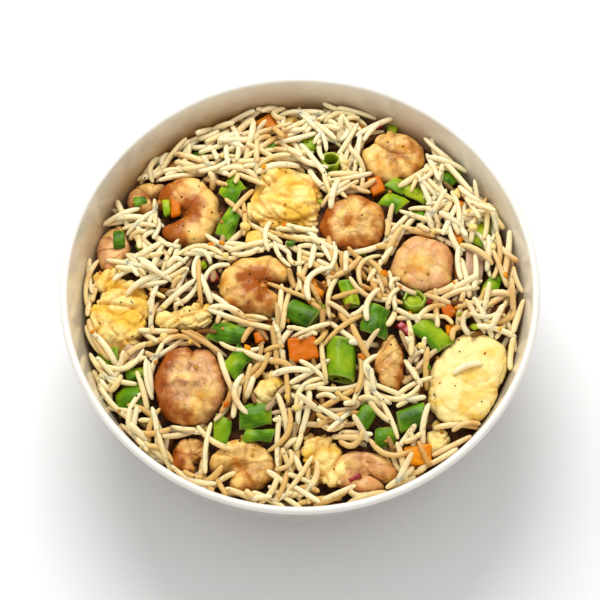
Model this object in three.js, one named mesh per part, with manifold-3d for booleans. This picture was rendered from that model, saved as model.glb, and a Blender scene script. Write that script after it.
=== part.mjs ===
// Fried rice with prawns, scrambled egg, spring onion, carrot and onion, heaped in a round white bowl.
// Millimetres, +Z up. The origin is at the centre of the bowl's foot, on the table.
// +X is to the right of someone eating from it, and +Y is away from them.

import * as THREE from "three";
import { mergeVertices } from "three/addons/utils/BufferGeometryUtils.js";
import Module from "manifold-3d";

const wasm = await Module();
wasm.setup();

// The bowl.
const RIM_RADIUS = 82.5;
const BOWL_HEIGHT = 62;
const WALL = 2.8;
const WALL_TAPER = 0.2; // the upper wall leans in by this much for each millimetre down
const STRAIGHT_WALL = 21; // height of the straight part under the rim
const FOOT_RADIUS = 39.5;
const FOOT_WIDTH = 3;
const FOOT_HEIGHT = 5;
const FOOT_RECESS = 1.6;
const BELLY_PULL = [22, 22]; // how far the belly's curve follows the wall and the floor
const BOWL_SIDES = 48;
const BELLY_STEPS = 4;
const LIP_STEPS = 4;

// The heap of rice, up to the tops of its grains.
const HEAP_CROWN = 54.3;
const HEAP_EDGE_DEPTH = 16; // mean depth of the heap's edge below the rim
const HEAP_EDGE_LEAN = [-3.5, -1]; // the edge is less deep towards +X and a little towards +Y
const HEAP_EDGE_RADIUS = 77;
const HEAP_FALL = 2.2; // how late the heap falls away to its edge
const CORE_DEPTH = 1.9; // the grains that show stand this much above the core
const DOME_RINGS = 5;
const DOME_SIDES = 28;

// Grains of long rice that show on the heap.
const GRAIN_COUNT = 66;
const GRAIN_LENGTH = [11, 17];
const GRAIN_THICKNESS = 2.3;
const GRAIN_SPACING = 6;
const GRAIN_BEND = 1.6; // most that a grain's middle bows out of line
const GRAIN_TILT = 0.09;
const GRAIN_SEED = 11;

const BIT_SINK = 0.12; // how far under a prawn's top its bits lie, in parts of its height
const GAP = 0.3; // left between the food and the bowl
const SKIN = 0.35; // left between two toppings
const BED = 0.45; // left between the rice and a topping that lies in it
const DEG = Math.PI / 180;

// Prawns. at is the middle in plan and size the width and depth there, thick the height. The body
// starts at the turn of start degrees round the curl, runs through sweep degrees, and rise is how far
// it stands above the heap. bits are small pieces of vegetable that stick to it.
const PRAWNS = [
  { at: [-39, 34], size: [22, 28], thick: 12, start: 165, sweep: -318, rise: 2.6,
    bits: [{ kind: "carrot", at: [-5, 1], size: [3.4, 7, 2.4], turn: 4 },
      { kind: "scallion", at: [-8.2, 1], size: [2.6, 6, 2], turn: 8 }] },
  { at: [18.5, 28.5], size: [23, 23], thick: 12, start: 95, sweep: -351, rise: 2.2 },
  { at: [33.5, 55.5], size: [22, 20], thick: 12, start: 130, sweep: -349, rise: 3.4 },
  { at: [-15.5, 4.5], size: [26, 23], thick: 11, start: -42, sweep: -306, rise: 1.8 },
  { at: [43, 13], size: [22, 21.5], thick: 11, start: -70, sweep: 351, rise: 2.2 },
  { at: [-37.5, -31.5], size: [25, 29], thick: 12, start: 95, sweep: 350, rise: 2.6 },
  { at: [30.5, -24.5], size: [10.5, 21], thick: 10, start: 60, sweep: -95, rise: 2 },
  { at: [-19.5, -60], size: [22, 18], thick: 10, start: 200, sweep: -330, rise: 2.2 },
  { at: [21.5, -62.5], size: [23, 15], thick: 9, start: -30, sweep: 342, rise: 1.6,
    bits: [{ kind: "chilli", at: [-3, -3], size: [4.5, 1.8, 1.2], turn: 30 }] },
  { at: [-66, 22.5], size: [12, 18], thick: 9, start: 100, sweep: 145, rise: 1.6,
    bits: [{ kind: "scallion", at: [2, 2.4], size: [4, 7, 3], turn: 5 }] },
  { at: [-55, 41.5], size: [14, 12], thick: 8, start: 40, sweep: 250, rise: 1.6,
    bits: [{ kind: "scallion", at: [-2, -2], size: [4.6, 4, 2], turn: 15 }] },
  { at: [-37, -56], size: [13, 13], thick: 8, start: 0, sweep: 285, rise: 0.6 },
];

const LARGE_EGG = 22; // pieces longer than this have finer faces

// Scrambled egg. fold is how deep its folds run, and the big sheet is nearly smooth.
const EGGS = [
  { at: [-5, 38.5], size: [26, 26], thick: 11, turn: 0, rise: 2.6, fold: 0.13, seed: 1 },
  { at: [-62, -4], size: [20, 25], thick: 9, turn: -12, rise: 2.2, fold: 0.13, seed: 4 },
  { at: [-40, -7], size: [20, 9], thick: 7, turn: 8, rise: 1.2, fold: 0.12, seed: 7 },
  { at: [57.5, -29], size: [24, 35], thick: 9, turn: -24, rise: 3, fold: 0.05, seed: 5 },
  { at: [-67.5, 9.5], size: [10, 9], thick: 7, turn: 20, rise: 1.2, fold: 0.1, seed: 2 },
  { at: [8.5, -58], size: [13, 20], thick: 8, turn: 18, rise: 1.4, fold: 0.12, seed: 3 },
  { at: [-11, -33.5], size: [8, 12], thick: 7, turn: -30, rise: 1, fold: 0.1, seed: 6 },
  { at: [46.5, -52], size: [8, 9], thick: 6, turn: 0, rise: 1, fold: 0.1, seed: 8 },
];

// Cut spring onion. A leaf is a curved strip of green, a tube is closed and pressed a little flat,
// and a ring stands on its cut end. turn is the direction of its length in plan.
const SCALLIONS = [
  { kind: "leaf", at: [-24, 42], size: [10, 8], turn: 60, rise: 2.2 },
  { kind: "leaf", at: [-24.8, 28.5], size: [13.5, 6.5], turn: 66, rise: 2.2 },
  { kind: "leaf", at: [38.5, 41.5], size: [17, 5.5], turn: -28, rise: 2.6 },
  { kind: "leaf", at: [33, 36.5], size: [8.5, 7], turn: -28, rise: 1.4 },
  { kind: "ring", at: [39.5, -2.5], size: [8.5, 8.5], turn: 0, rise: 2.2 },
  { kind: "tube", at: [0.5, -7], size: [10.5, 8.5], turn: -26, rise: 1.6 },
  { kind: "tube", at: [14, -23.5], size: [14.5, 10.5], turn: 88, rise: 1.8 },
  { kind: "tube", at: [17, 0.5], size: [9.5, 6], turn: 104, rise: 1.4 },
  { kind: "leaf", at: [26, -9.5], size: [12, 9.5], turn: 80, rise: 0.6 },
  { kind: "leaf", at: [45.5, -14.5], size: [14, 8.5], turn: -42, rise: 1.6 },
  { kind: "leaf", at: [-57.5, -35], size: [12.5, 9.5], turn: 24, rise: 2 },
  { kind: "leaf", at: [-25, -14], size: [13, 7.5], turn: -14, rise: 2.2 },
  { kind: "leaf", at: [-21.5, -24.5], size: [10.5, 7.5], turn: 55, rise: 1.2 },
  { kind: "leaf", at: [-15, -43.5], size: [12, 8.5], turn: 8, rise: 2 },
  { kind: "leaf", at: [-26.5, -48.5], size: [11, 6], turn: 82, rise: 0.6 },
  { kind: "leaf", at: [-14, -50.4], size: [11, 4.5], turn: 0, rise: 0.8 },
  { kind: "tube", at: [38, -44], size: [10, 8.5], turn: 20, rise: 1.8 },
  { kind: "leaf", at: [29, -51], size: [8.5, 7], turn: 15, rise: 1 },
  { kind: "tube", at: [22, -44], size: [7, 6.5], turn: 60, rise: 1.4 },
  { kind: "ring", at: [11, 53], size: [7.5, 6], turn: 0, rise: 2 },
  { kind: "leaf", at: [64, 25], size: [10.5, 5.5], turn: 72, rise: 1 },
  { kind: "leaf", at: [54, 47.5], size: [8, 6.5], turn: 30, rise: 0.4 },
  { kind: "leaf", at: [66.5, 4], size: [9.5, 5.5], turn: 62, rise: 1 },
  { kind: "leaf", at: [-66.5, -19.5], size: [8.5, 6], turn: 14, rise: 1 },
];

// Carrot dice, and two slices of red onion.
const CARROTS = [
  { at: [1, -20.5], size: [10, 8.5, 6.5], turn: 8, rise: 1.4 },
  { at: [40, -57.5], size: [9, 7, 5], turn: 5, rise: 2.2 },
  { at: [5, 3.2], size: [8.5, 5, 5], turn: -30, rise: 0.4 },
  { at: [-12, 70], size: [6.5, 6, 4.5], turn: 30, rise: 1.4 },
];
const ONIONS = [
  { at: [61, 12], size: [15, 7], turn: 82, rise: 1.2 },
  { at: [-57.5, -19.5], size: [8, 5.5], turn: -20, rise: 1.2 },
];

// Small pieces that are part of the heap's surface: width, depth and height, and the turn in plan.
const RICE_BITS = [
  { kind: "carrot", at: [55, 22.5], size: [5, 4.5, 3], turn: 60 },
  { kind: "carrot", at: [55.5, 37], size: [5.5, 2.6, 2.4], turn: -20 },
  { kind: "carrot", at: [-13.5, -15.5], size: [4.5, 4, 3], turn: 20 },
  { kind: "carrot", at: [69.5, -5], size: [3.4, 5, 3], turn: 0 },
  { kind: "carrot", at: [51.5, -5.5], size: [4.5, 4.5, 3], turn: 30 },
  { kind: "carrot", at: [52, -12.5], size: [3.4, 4, 2.6], turn: 0 },
  { kind: "carrot", at: [-5.5, 61], size: [5, 3, 3], turn: 5 },
  { kind: "carrot", at: [27, 43.5], size: [5, 6.5, 3], turn: 20 },
  { kind: "scallion", at: [3.5, 61], size: [5, 6, 3], turn: 20 },
  { kind: "scallion", at: [-37, 57], size: [7, 5, 2.4], turn: 15 },
  { kind: "scallion", at: [-55, 21.5], size: [5, 4, 2.4], turn: 30 },
  { kind: "scallion", at: [34, 69], size: [3.6, 5, 3], turn: -10 },
  { kind: "scallion", at: [40.5, 31.5], size: [7, 3.6, 2.4], turn: 5 },
  { kind: "scallion", at: [-10.5, 60.5], size: [6, 3.4, 2.4], turn: 10 },
  { kind: "scallion", at: [-56, -26.5], size: [8, 4.5, 2.4], turn: 10 },
  { kind: "scallion", at: [-7, -65], size: [3.6, 4.4, 2.4], turn: 0 },
  { kind: "chilli", at: [36, -12.2], size: [5.5, 3, 2.2], turn: -40 },
  { kind: "chilli", at: [-30, 7], size: [3.4, 2.6, 2], turn: 20 },
];

// Repeatable random numbers from 0 to 1.
function randomFrom(seed) {
  let state = seed * 2654435761 % 4294967296;
  return () => {
    state = (state * 1664525 + 1013904223) % 4294967296;
    return state / 4294967296;
  };
}

// Height of the heap's surface, and of the bare core under its grains.
function heapHeight(x, y) {
  const radius = Math.hypot(x, y);
  const side = radius > 0 ? (HEAP_EDGE_LEAN[0] * x + HEAP_EDGE_LEAN[1] * y) / radius : 0;
  const edge = BOWL_HEIGHT - HEAP_EDGE_DEPTH - side;
  return HEAP_CROWN - (HEAP_CROWN - edge) * (radius / HEAP_EDGE_RADIUS) ** HEAP_FALL;
}

function coreHeight(x, y) {
  return heapHeight(x, y) - CORE_DEPTH;
}

// A closed geometry as a solid that can be joined and cut.
function toSolid(geometry) {
  const bare = geometry.clone();
  bare.deleteAttribute("normal");
  bare.deleteAttribute("uv");
  const merged = mergeVertices(bare, 1e-4);
  const corners = merged.index.array;
  const kept = [];
  for (let i = 0; i < corners.length; i += 3) {
    const [a, b, c] = [corners[i], corners[i + 1], corners[i + 2]];
    if (a !== b && b !== c && c !== a) kept.push(a, b, c);
  }
  return new wasm.Manifold(new wasm.Mesh({
    numProp: 3,
    vertProperties: new Float32Array(merged.getAttribute("position").array),
    triVerts: new Uint32Array(kept),
  }));
}

function toGeometry(solid) {
  const mesh = solid.getMesh();
  const geometry = new THREE.BufferGeometry();
  geometry.setAttribute("position", new THREE.BufferAttribute(new Float32Array(mesh.vertProperties), 3));
  geometry.setIndex(new THREE.BufferAttribute(new Uint32Array(mesh.triVerts), 1));
  geometry.computeVertexNormals();
  return geometry;
}

// The largest piece of a solid: loose scraps go, and so do sealed hollows.
function largest(solid) {
  const pieces = solid.decompose();
  return pieces.reduce((best, piece) => (piece.volume() > best.volume() ? piece : best));
}

function join(solids) {
  return solids.reduce((sum, solid) => sum.add(solid));
}

// Moves every corner of a geometry by a rule.
function reshape(geometry, rule) {
  const position = geometry.getAttribute("position");
  const corner = new THREE.Vector3();
  for (let i = 0; i < position.count; i += 1) {
    corner.fromBufferAttribute(position, i);
    rule(corner);
    position.setXYZ(i, corner.x, corner.y, corner.z);
  }
  return geometry;
}

// Turns a flat-lying piece in plan, and sets its top at a height above the heap.
function lay(geometry, [x, y], turn, top) {
  geometry.rotateZ(turn * DEG);
  geometry.computeBoundingBox();
  return geometry.translate(x, y, top - geometry.boundingBox.max.z);
}

// The bowl's outer wall from the rim down to the foot, moved inwards by a distance.
function wallProfile(inset) {
  const top = new THREE.Vector2(RIM_RADIUS, BOWL_HEIGHT - WALL / 2 * (1 + WALL_TAPER));
  const bend = new THREE.Vector2(RIM_RADIUS - WALL_TAPER * STRAIGHT_WALL, BOWL_HEIGHT - STRAIGHT_WALL);
  const foot = new THREE.Vector2(FOOT_RADIUS + 1.5, FOOT_HEIGHT + 1);
  const belly = new THREE.CubicBezierCurve(
    bend,
    new THREE.Vector2(bend.x - WALL_TAPER * BELLY_PULL[0], bend.y - BELLY_PULL[0]),
    new THREE.Vector2(foot.x + BELLY_PULL[1], foot.y + 2),
    foot,
  );
  const points = [top];
  const inward = [new THREE.Vector2(-1, WALL_TAPER).normalize()];
  for (let i = 0; i <= BELLY_STEPS; i += 1) {
    const along = belly.getTangent(i / BELLY_STEPS);
    points.push(belly.getPoint(i / BELLY_STEPS));
    inward.push(new THREE.Vector2(along.y, -along.x));
  }
  return points.map((point, i) => point.clone().addScaledVector(inward[i], inset));
}

function makeBowl() {
  const outside = wallProfile(0).reverse();
  const inside = wallProfile(WALL);
  const lip = [];
  const middle = outside.at(-1).clone().lerp(inside[0], 0.5);
  for (let i = 1; i < LIP_STEPS; i += 1) {
    const angle = i / LIP_STEPS * Math.PI;
    lip.push(new THREE.Vector2(middle.x + WALL / 2 * Math.cos(angle), middle.y + WALL / 2 * Math.sin(angle)));
  }
  const profile = [
    new THREE.Vector2(0, FOOT_RECESS),
    new THREE.Vector2(FOOT_RADIUS - FOOT_WIDTH - FOOT_RECESS, FOOT_RECESS),
    new THREE.Vector2(FOOT_RADIUS - FOOT_WIDTH, 0),
    new THREE.Vector2(FOOT_RADIUS, 0),
    new THREE.Vector2(FOOT_RADIUS + 0.5, FOOT_HEIGHT - 1),
    ...outside,
    ...lip,
    ...inside,
    new THREE.Vector2(0, inside.at(-1).y),
  ];
  return toSolid(standUp(new THREE.LatheGeometry(profile, BOWL_SIDES)));
}

// A lathe turns about Y: this stands it on Z.
function standUp(geometry) {
  return geometry.rotateX(Math.PI / 2);
}

// The room inside the bowl, clear of its wall.
function makeRoom() {
  const inside = wallProfile(WALL + GAP).reverse();
  const profile = [new THREE.Vector2(0, inside[0].y), ...inside, new THREE.Vector2(0, inside.at(-1).y)];
  return toSolid(standUp(new THREE.LatheGeometry(profile, BOWL_SIDES)));
}

// The bare heap: what fills the room up to the core's dome.
function makeCore(room) {
  const below = [new THREE.Vector2(0, 0), new THREE.Vector2(RIM_RADIUS, 0)];
  for (let i = 0; i <= DOME_RINGS; i += 1) {
    below.push(new THREE.Vector2(RIM_RADIUS * (1 - i / DOME_RINGS), BOWL_HEIGHT));
  }
  const dome = reshape(standUp(new THREE.LatheGeometry(below, DOME_SIDES)), (corner) => {
    if (corner.z > BOWL_HEIGHT / 2) corner.z = coreHeight(corner.x, corner.y);
  });
  return room.intersect(toSolid(dome));
}

// A prawn curled on its side: a tapering body in rings, its thick cut end first and its tail last.
function prawnBody({ start, sweep }) {
  const body = 0.49; // the body's half width in parts of the curl's radius
  const tail = 0.1; // how much of that is lost by the tail
  const spiral = 0.06; // how far the tail turns in
  const ridge = 0.03; // how far each segment of the body stands out
  const drop = 0.2; // how much lower the tail is than the cut end
  const [convex, filled] = [0.85, 0.5]; // its section is rounder outside the curl than inside it
  const [sharp, round] = [10, 2.2]; // how squarely its two ends are cut
  const [around, along] = [8, 11];
  const geometry = new THREE.SphereGeometry(1, around, along);
  reshape(geometry, (corner) => {
    const t = 0.5 - Math.asin(THREE.MathUtils.clamp(corner.y, -1, 1)) / Math.PI;
    const ring = Math.atan2(corner.z, corner.x);
    const blunt = Math.max(0, 1 - Math.abs(2 * t - 1) ** sharp) ** (1 / round);
    const rib = 1 + ridge * Math.cos(t * Math.PI * along);
    const taper = 1 - tail * t ** 1.6;
    const width = body * taper * blunt * rib;
    const angle = (start + sweep * t) * DEG;
    const power = Math.cos(ring) < 0 ? filled : convex;
    const [out, up] = [Math.cos(ring), Math.sin(ring)].map((v) => Math.sign(v) * Math.abs(v) ** power);
    const radius = 1 - body * taper - spiral * t ** 2 + width * out;
    corner.set(radius * Math.cos(angle), radius * Math.sin(angle), (1 - drop * t) * width / body * up);
  });
  if (sweep > 0) flip(geometry);
  return geometry;
}

// A round tub, chamfered at the bottom, that a curl of radius 1 lies in.
function tubBody() {
  const profile = [[0, -1], [0.77, -1], [1.09, -0.42], [1.09, 1], [0, 1]];
  return standUp(new THREE.LatheGeometry(profile.map(([x, y]) => new THREE.Vector2(x, y)), 8));
}

// The prawn's shape, and the same shape and the tub with a swell added all round.
function prawnShapes(prawn) {
  const { at, size, thick, sweep, rise } = prawn;
  const body = prawnBody(prawn);
  body.computeBoundingBox();
  const middle = body.boundingBox.getCenter(new THREE.Vector3());
  const span = body.boundingBox.getSize(new THREE.Vector3());
  const fit = (geometry, swell) => {
    geometry.translate(-middle.x, -middle.y, -middle.z);
    geometry.scale((size[0] + 2 * swell) / span.x, (size[1] + 2 * swell) / span.y, (thick + 2 * swell) / span.z);
    return geometry.translate(...at, heapHeight(...at) + rise - thick / 2);
  };
  const tub = tubBody();
  const open = 150; // a prawn that curls by less than this fills only part of its circle
  if (Math.abs(sweep) < open) {
    const ease = 1.2;
    tub.scale(span.x / 2 * ease, span.y / 2 * ease, 1).translate(middle.x, middle.y, 0);
  }
  tub.scale(1, 1, span.z / 2);
  return { shape: fit(body.clone(), 0), skin: fit(body, SKIN + 0.15), hollow: fit(tub, BED + 0.1) };
}

// Turns every face of a geometry round.
function flip(geometry) {
  const corners = geometry.index.array;
  for (let i = 0; i < corners.length; i += 3) {
    [corners[i], corners[i + 1]] = [corners[i + 1], corners[i]];
  }
}

// A piece of scrambled egg: a flattened ball pushed in and out along its folds.
function eggShape({ at, size, thick, turn, rise, fold, seed }, detail, swell = 0) {
  const random = randomFrom(seed);
  const waves = [];
  for (let i = 0; i < 5; i += 1) {
    const direction = new THREE.Vector3(random() - 0.5, random() - 0.5, 0.5 * (random() - 0.5));
    waves.push({ direction: direction.normalize().multiplyScalar(3 + 4 * random()), phase: 6.3 * random() });
  }
  const geometry = new THREE.IcosahedronGeometry(1, detail);
  geometry.setIndex([...Array(geometry.getAttribute("position").count).keys()]);
  reshape(geometry, (corner) => {
    const lumps = waves.reduce((sum, wave) => sum + Math.sin(corner.dot(wave.direction) + wave.phase), 0);
    const square = (Math.abs(corner.x) ** 3 + Math.abs(corner.y) ** 3 + Math.abs(corner.z) ** 3) ** (-1 / 3);
    corner.multiplyScalar((0.35 + 0.65 * square) * (1 + fold * lumps / 2));
  });
  geometry.scale(size[0] / 2 + swell, size[1] / 2 + swell, thick / 2 + swell);
  return lay(geometry, at, turn, heapHeight(...at) + rise + swell);
}

// A strip of spring onion leaf, bowed across its width and bent along its length, in two like faces.
// It rests on the core, and lies along its slope.
function leafShape({ at, size, turn, rise }, swell = 0) {
  const [length, width] = size;
  const thickness = 1.4;
  const bow = width * 0.16; // how far its middle stands above its long edges
  const skew = width * 0.25; // the knife cuts it at a slant
  const bend = 0.5 + 0.2 * rise;
  const outline = new THREE.Shape();
  const steps = 3;
  for (const [side, order] of [[1, 1], [-1, -1]]) {
    for (let i = 0; i <= steps; i += 1) {
      const across = order * (1 - 2 * i / steps);
      const height = bow * (1 - across * across) + side * (thickness / 2 + swell);
      outline[i === 0 && side > 0 ? "moveTo" : "lineTo"](across * (width / 2 + swell), height);
    }
  }
  outline.closePath();
  const geometry = new THREE.ExtrudeGeometry(outline, {
    depth: length + 2 * swell, steps: 2, bevelEnabled: false,
  });
  geometry.translate(0, 0, -length / 2 - swell);
  geometry.rotateX(Math.PI / 2);
  geometry.rotateZ(Math.PI / 2);
  reshape(geometry, (corner) => {
    corner.z += bend * (1 - (2 * corner.x / length) ** 2);
    corner.x += skew * corner.y / width;
  });
  geometry.rotateZ(turn * DEG);
  const [x, y] = at;
  const normal = new THREE.Vector3(
    coreHeight(x - 1, y) - coreHeight(x + 1, y),
    coreHeight(x, y - 1) - coreHeight(x, y + 1),
    2,
  ).normalize();
  geometry.applyQuaternion(new THREE.Quaternion().setFromUnitVectors(new THREE.Vector3(0, 0, 1), normal));
  geometry.translate(x, y, 0);
  return mergeable(geometry.translate(0, 0, BED - swell - lowestOnCore(geometry)));
}

// How far the lowest corner of a geometry is above the core, or below it if negative.
function lowestOnCore(geometry) {
  const position = geometry.getAttribute("position");
  let lowest = Infinity;
  for (let i = 0; i < position.count; i += 1) {
    lowest = Math.min(lowest, position.getZ(i) - coreHeight(position.getX(i), position.getY(i)));
  }
  return lowest;
}

// A short length of spring onion tube: lying down and pressed flat, or a ring on its end.
function tubeShape({ kind, at, size, turn, rise }, swell = 0) {
  const sides = 8;
  const ring = kind === "ring";
  const [length, width] = ring ? [size[1], size[0]] : size;
  const wall = 1.1;
  const ringDepth = 0.92; // a ring is a little less deep than wide, and leans
  const ringLean = 0.16;
  const flatness = 0.72; // a tube that lies down is pressed to this part of its height
  const skew = 0.18; // and is cut at a slant
  const outer = width / 2 + swell;
  const depth = length + 2 * swell;
  const outline = new THREE.Shape(circle(outer, sides));
  if (swell === 0) outline.holes.push(new THREE.Path(circle(outer - wall, sides).reverse()));
  const geometry = new THREE.ExtrudeGeometry(outline, { depth, bevelEnabled: false });
  geometry.translate(0, 0, -depth / 2);
  if (ring) {
    geometry.scale(1, ringDepth, 1);
    geometry.rotateX(-ringLean);
  } else {
    geometry.rotateY(Math.PI / 2);
    geometry.scale(1, 1, flatness);
    reshape(geometry, (corner) => { corner.x += skew * corner.y; });
  }
  return lay(mergeable(geometry), at, turn, heapHeight(...at) + rise + swell);
}

function circle(radius, sides) {
  const points = [];
  for (let i = 0; i < sides; i += 1) {
    const angle = (i + 0.5) / sides * 2 * Math.PI;
    points.push(new THREE.Vector2(radius * Math.cos(angle), radius * Math.sin(angle)));
  }
  return points;
}

// Gives a geometry without an index one, so that its corners can be merged.
function mergeable(geometry) {
  if (!geometry.index) geometry.setIndex([...Array(geometry.getAttribute("position").count).keys()]);
  return geometry;
}

// A die of carrot with softened edges and uneven sides.
function diceShape({ at, size, turn, rise }, swell = 0) {
  const [width, depth, height] = size.map((side) => side + 2 * swell);
  const bevel = 0.6;
  const outline = new THREE.Shape([
    new THREE.Vector2(-width / 2 + bevel, -depth / 2 + bevel),
    new THREE.Vector2(width / 2 - bevel, -depth / 2 + 2 * bevel),
    new THREE.Vector2(width / 2 - 2 * bevel, depth / 2 - bevel),
    new THREE.Vector2(-width / 2 + 2 * bevel, depth / 2 - bevel),
  ]);
  const geometry = new THREE.ExtrudeGeometry(outline, {
    depth: height - 2 * bevel, bevelSize: bevel, bevelThickness: bevel, bevelSegments: 1,
  });
  return lay(mergeable(geometry), at, turn, heapHeight(...at) + rise + swell);
}

// A slice of onion: a short piece of one thin layer.
function onionShape({ at, size, turn, rise }, swell = 0) {
  const [length, width] = size;
  const radius = length * 0.7; // of the layer's curve
  const thickness = 1.4 + 2 * swell;
  const lean = 0.35;
  const outline = new THREE.Shape();
  const steps = 5;
  for (const [edge, order] of [[radius + thickness / 2, 1], [radius - thickness / 2, -1]]) {
    for (let i = 0; i <= steps; i += 1) {
      const angle = Math.PI / 2 + order * (i / steps - 0.5) * (length / radius + 2 * swell / radius);
      const method = i === 0 && order > 0 ? "moveTo" : "lineTo";
      outline[method](edge * Math.cos(angle), edge * Math.sin(angle) - radius);
    }
  }
  outline.closePath();
  const depth = width + 2 * swell;
  const geometry = new THREE.ExtrudeGeometry(outline, { depth, bevelEnabled: false });
  geometry.translate(0, 0, -depth / 2);
  geometry.rotateX(Math.PI / 2);
  geometry.rotateX(lean);
  return lay(mergeable(geometry), at, turn, heapHeight(...at) + rise + swell);
}

// A small piece of vegetable stuck to a surface at a height, sunk by nearly half.
function bitSolid({ at, size, turn }, height) {
  const [wide, high, proud] = [0.8 * Math.SQRT2, 1.15, 0.55];
  const geometry = new THREE.SphereGeometry(0.5, 4, 3);
  geometry.rotateX(Math.PI / 2);
  geometry.rotateZ(Math.PI / 4);
  geometry.scale(size[0] * wide, size[1] * wide, size[2] * high);
  return toSolid(lay(geometry, at, turn, height + size[2] * proud));
}

// One grain of long rice lying along the heap, bowed a little.
function grainSolid(x, y, length, turn, bow, tilt) {
  const geometry = new THREE.SphereGeometry(1, 5, 3);
  geometry.rotateZ(Math.PI / 2);
  const thickness = GRAIN_THICKNESS / 2 * 1.1; // the few faces cut inside the round
  const blunt = 0.6; // how full its ends are
  const proud = 0.35; // its middle is this much above the core
  reshape(geometry, (corner) => {
    const along = Math.sign(corner.x) * Math.abs(corner.x) ** blunt;
    corner.set(along * length / 2, corner.y * thickness + bow * (1 - along * along), corner.z * thickness);
  });
  geometry.rotateZ(turn);
  const slopeStep = length / 3;
  const [dx, dy] = [slopeStep * Math.cos(turn), slopeStep * Math.sin(turn)];
  const slope = (coreHeight(x + dx, y + dy) - coreHeight(x - dx, y - dy)) / (2 * slopeStep) + tilt;
  reshape(geometry, (corner) => {
    const along = corner.x * Math.cos(turn) + corner.y * Math.sin(turn);
    corner.set(corner.x + x, corner.y + y, corner.z + coreHeight(x, y) + proud + slope * along);
  });
  return toSolid(geometry);
}

// Grains spread over the heap. One that would touch a topping or the bowl is shortened or left out.
function scatterGrains(obstacles, room) {
  const random = randomFrom(GRAIN_SEED);
  const tries = 40 * GRAIN_COUNT;
  const short = GRAIN_LENGTH[0] * 0.8;
  const reach = RIM_RADIUS - WALL - HEAP_EDGE_DEPTH * WALL_TAPER - GRAIN_THICKNESS;
  const middles = [];
  const grains = [];
  for (let i = 0; i < tries && grains.length < GRAIN_COUNT; i += 1) {
    const radius = reach * Math.sqrt(random());
    const direction = 2 * Math.PI * random();
    const [x, y] = [radius * Math.cos(direction), radius * Math.sin(direction)];
    const turn = Math.PI * random();
    const length = THREE.MathUtils.lerp(...GRAIN_LENGTH, random());
    const bow = GRAIN_BEND * (2 * random() - 1);
    const tilt = GRAIN_TILT * (2 * random() - 1);
    if (middles.some(([u, v]) => Math.hypot(u - x, v - y) < GRAIN_SPACING)) continue;
    for (const size of [length, short]) {
      const ends = [-0.5, 0.5].map((end) => Math.hypot(
        x + end * size * Math.cos(turn),
        y + end * size * Math.sin(turn),
      ));
      if (Math.max(...ends) > reach) continue;
      const grain = grainSolid(x, y, size, turn, bow, tilt);
      if (!grain.intersect(obstacles).isEmpty() || !grain.subtract(room).isEmpty()) continue;
      middles.push([x, y]);
      grains.push(grain);
      break;
    }
  }
  return grains;
}

// Each topping: the solid that it is, its skin with the gap to its neighbours, and the hollow that the
// rice leaves for it. A leaf lies on the rice and has none.
function makeToppings() {
  const colour = { prawn: "#dca060", egg: "#f3dc86", scallion: "#5f9a1c", carrot: "#e8812a", onion: "#d9c3c0" };
  const parts = [];
  const add = (kind, i, shape, skin, hollow) => parts.push({
    name: `${kind}_${i + 1}`,
    colour: colour[kind],
    solid: toSolid(shape),
    skin: toSolid(skin),
    hollow: hollow && toSolid(hollow),
  });
  PRAWNS.forEach((prawn, i) => {
    const { shape, skin, hollow } = prawnShapes(prawn);
    add("prawn", i, shape, skin, hollow);
    const piece = parts.at(-1);
    for (const bit of prawn.bits ?? []) {
      const at = [prawn.at[0] + bit.at[0], prawn.at[1] + bit.at[1]];
      const height = heapHeight(...prawn.at) + prawn.rise - prawn.thick * BIT_SINK;
      piece.solid = piece.solid.add(bitSolid({ ...bit, at }, height));
    }
  });
  EGGS.forEach((egg, i) => {
    const detail = Math.max(...egg.size) > LARGE_EGG ? 2 : 1;
    add("egg", i, eggShape(egg, detail), eggShape(egg, detail, SKIN), eggShape(egg, detail, BED));
  });
  SCALLIONS.forEach((piece, i) => {
    if (piece.kind === "leaf") add("scallion", i, leafShape(piece), leafShape(piece, SKIN));
    else add("scallion", i, tubeShape(piece), tubeShape(piece, SKIN), tubeShape(piece, BED + 0.15));
  });
  CARROTS.forEach((carrot, i) => {
    add("carrot", i, diceShape(carrot), diceShape(carrot, SKIN), diceShape(carrot, BED));
  });
  ONIONS.forEach((onion, i) => {
    add("onion", i, onionShape(onion), onionShape(onion, SKIN), onionShape(onion, BED));
  });
  return parts;
}

// Where two toppings meet, the earlier one keeps its form and the later one is cut back.
function partToppings(toppings, room) {
  const taken = [];
  for (const topping of toppings) {
    for (const skin of taken) topping.solid = topping.solid.subtract(skin);
    topping.solid = largest(topping.solid.intersect(room));
    taken.push(topping.skin);
  }
}

function makeRice(toppings, room) {
  const hollows = join(toppings.filter((topping) => topping.hollow).map((topping) => topping.hollow));
  const skins = join(toppings.map((topping) => topping.skin));
  const bare = makeCore(room).subtract(hollows);
  const bits = RICE_BITS
    .map((bit) => bitSolid(bit, coreHeight(...bit.at)).intersect(room))
    .filter((bit) => bit.intersect(skins).isEmpty());
  const grains = scatterGrains(join([hollows, skins, ...bits]), room);
  return largest(join([bare, ...bits, ...grains]));
}

const inside = makeRoom();
const food = makeToppings();
partToppings(food, inside);

const group = new THREE.Group();
function addMesh(name, solid, color, roughness) {
  const material = new THREE.MeshStandardMaterial({ color, roughness, metalness: 0, flatShading: true });
  const mesh = new THREE.Mesh(toGeometry(solid), material);
  mesh.name = name;
  group.add(mesh);
}
addMesh("bowl", makeBowl(), "#f7f6f4", 0.25);
addMesh("rice", makeRice(food, inside), "#efdfc0", 0.5);
for (const { name, solid, colour } of food) addMesh(name, solid, colour, 0.45);

export default group;
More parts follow.
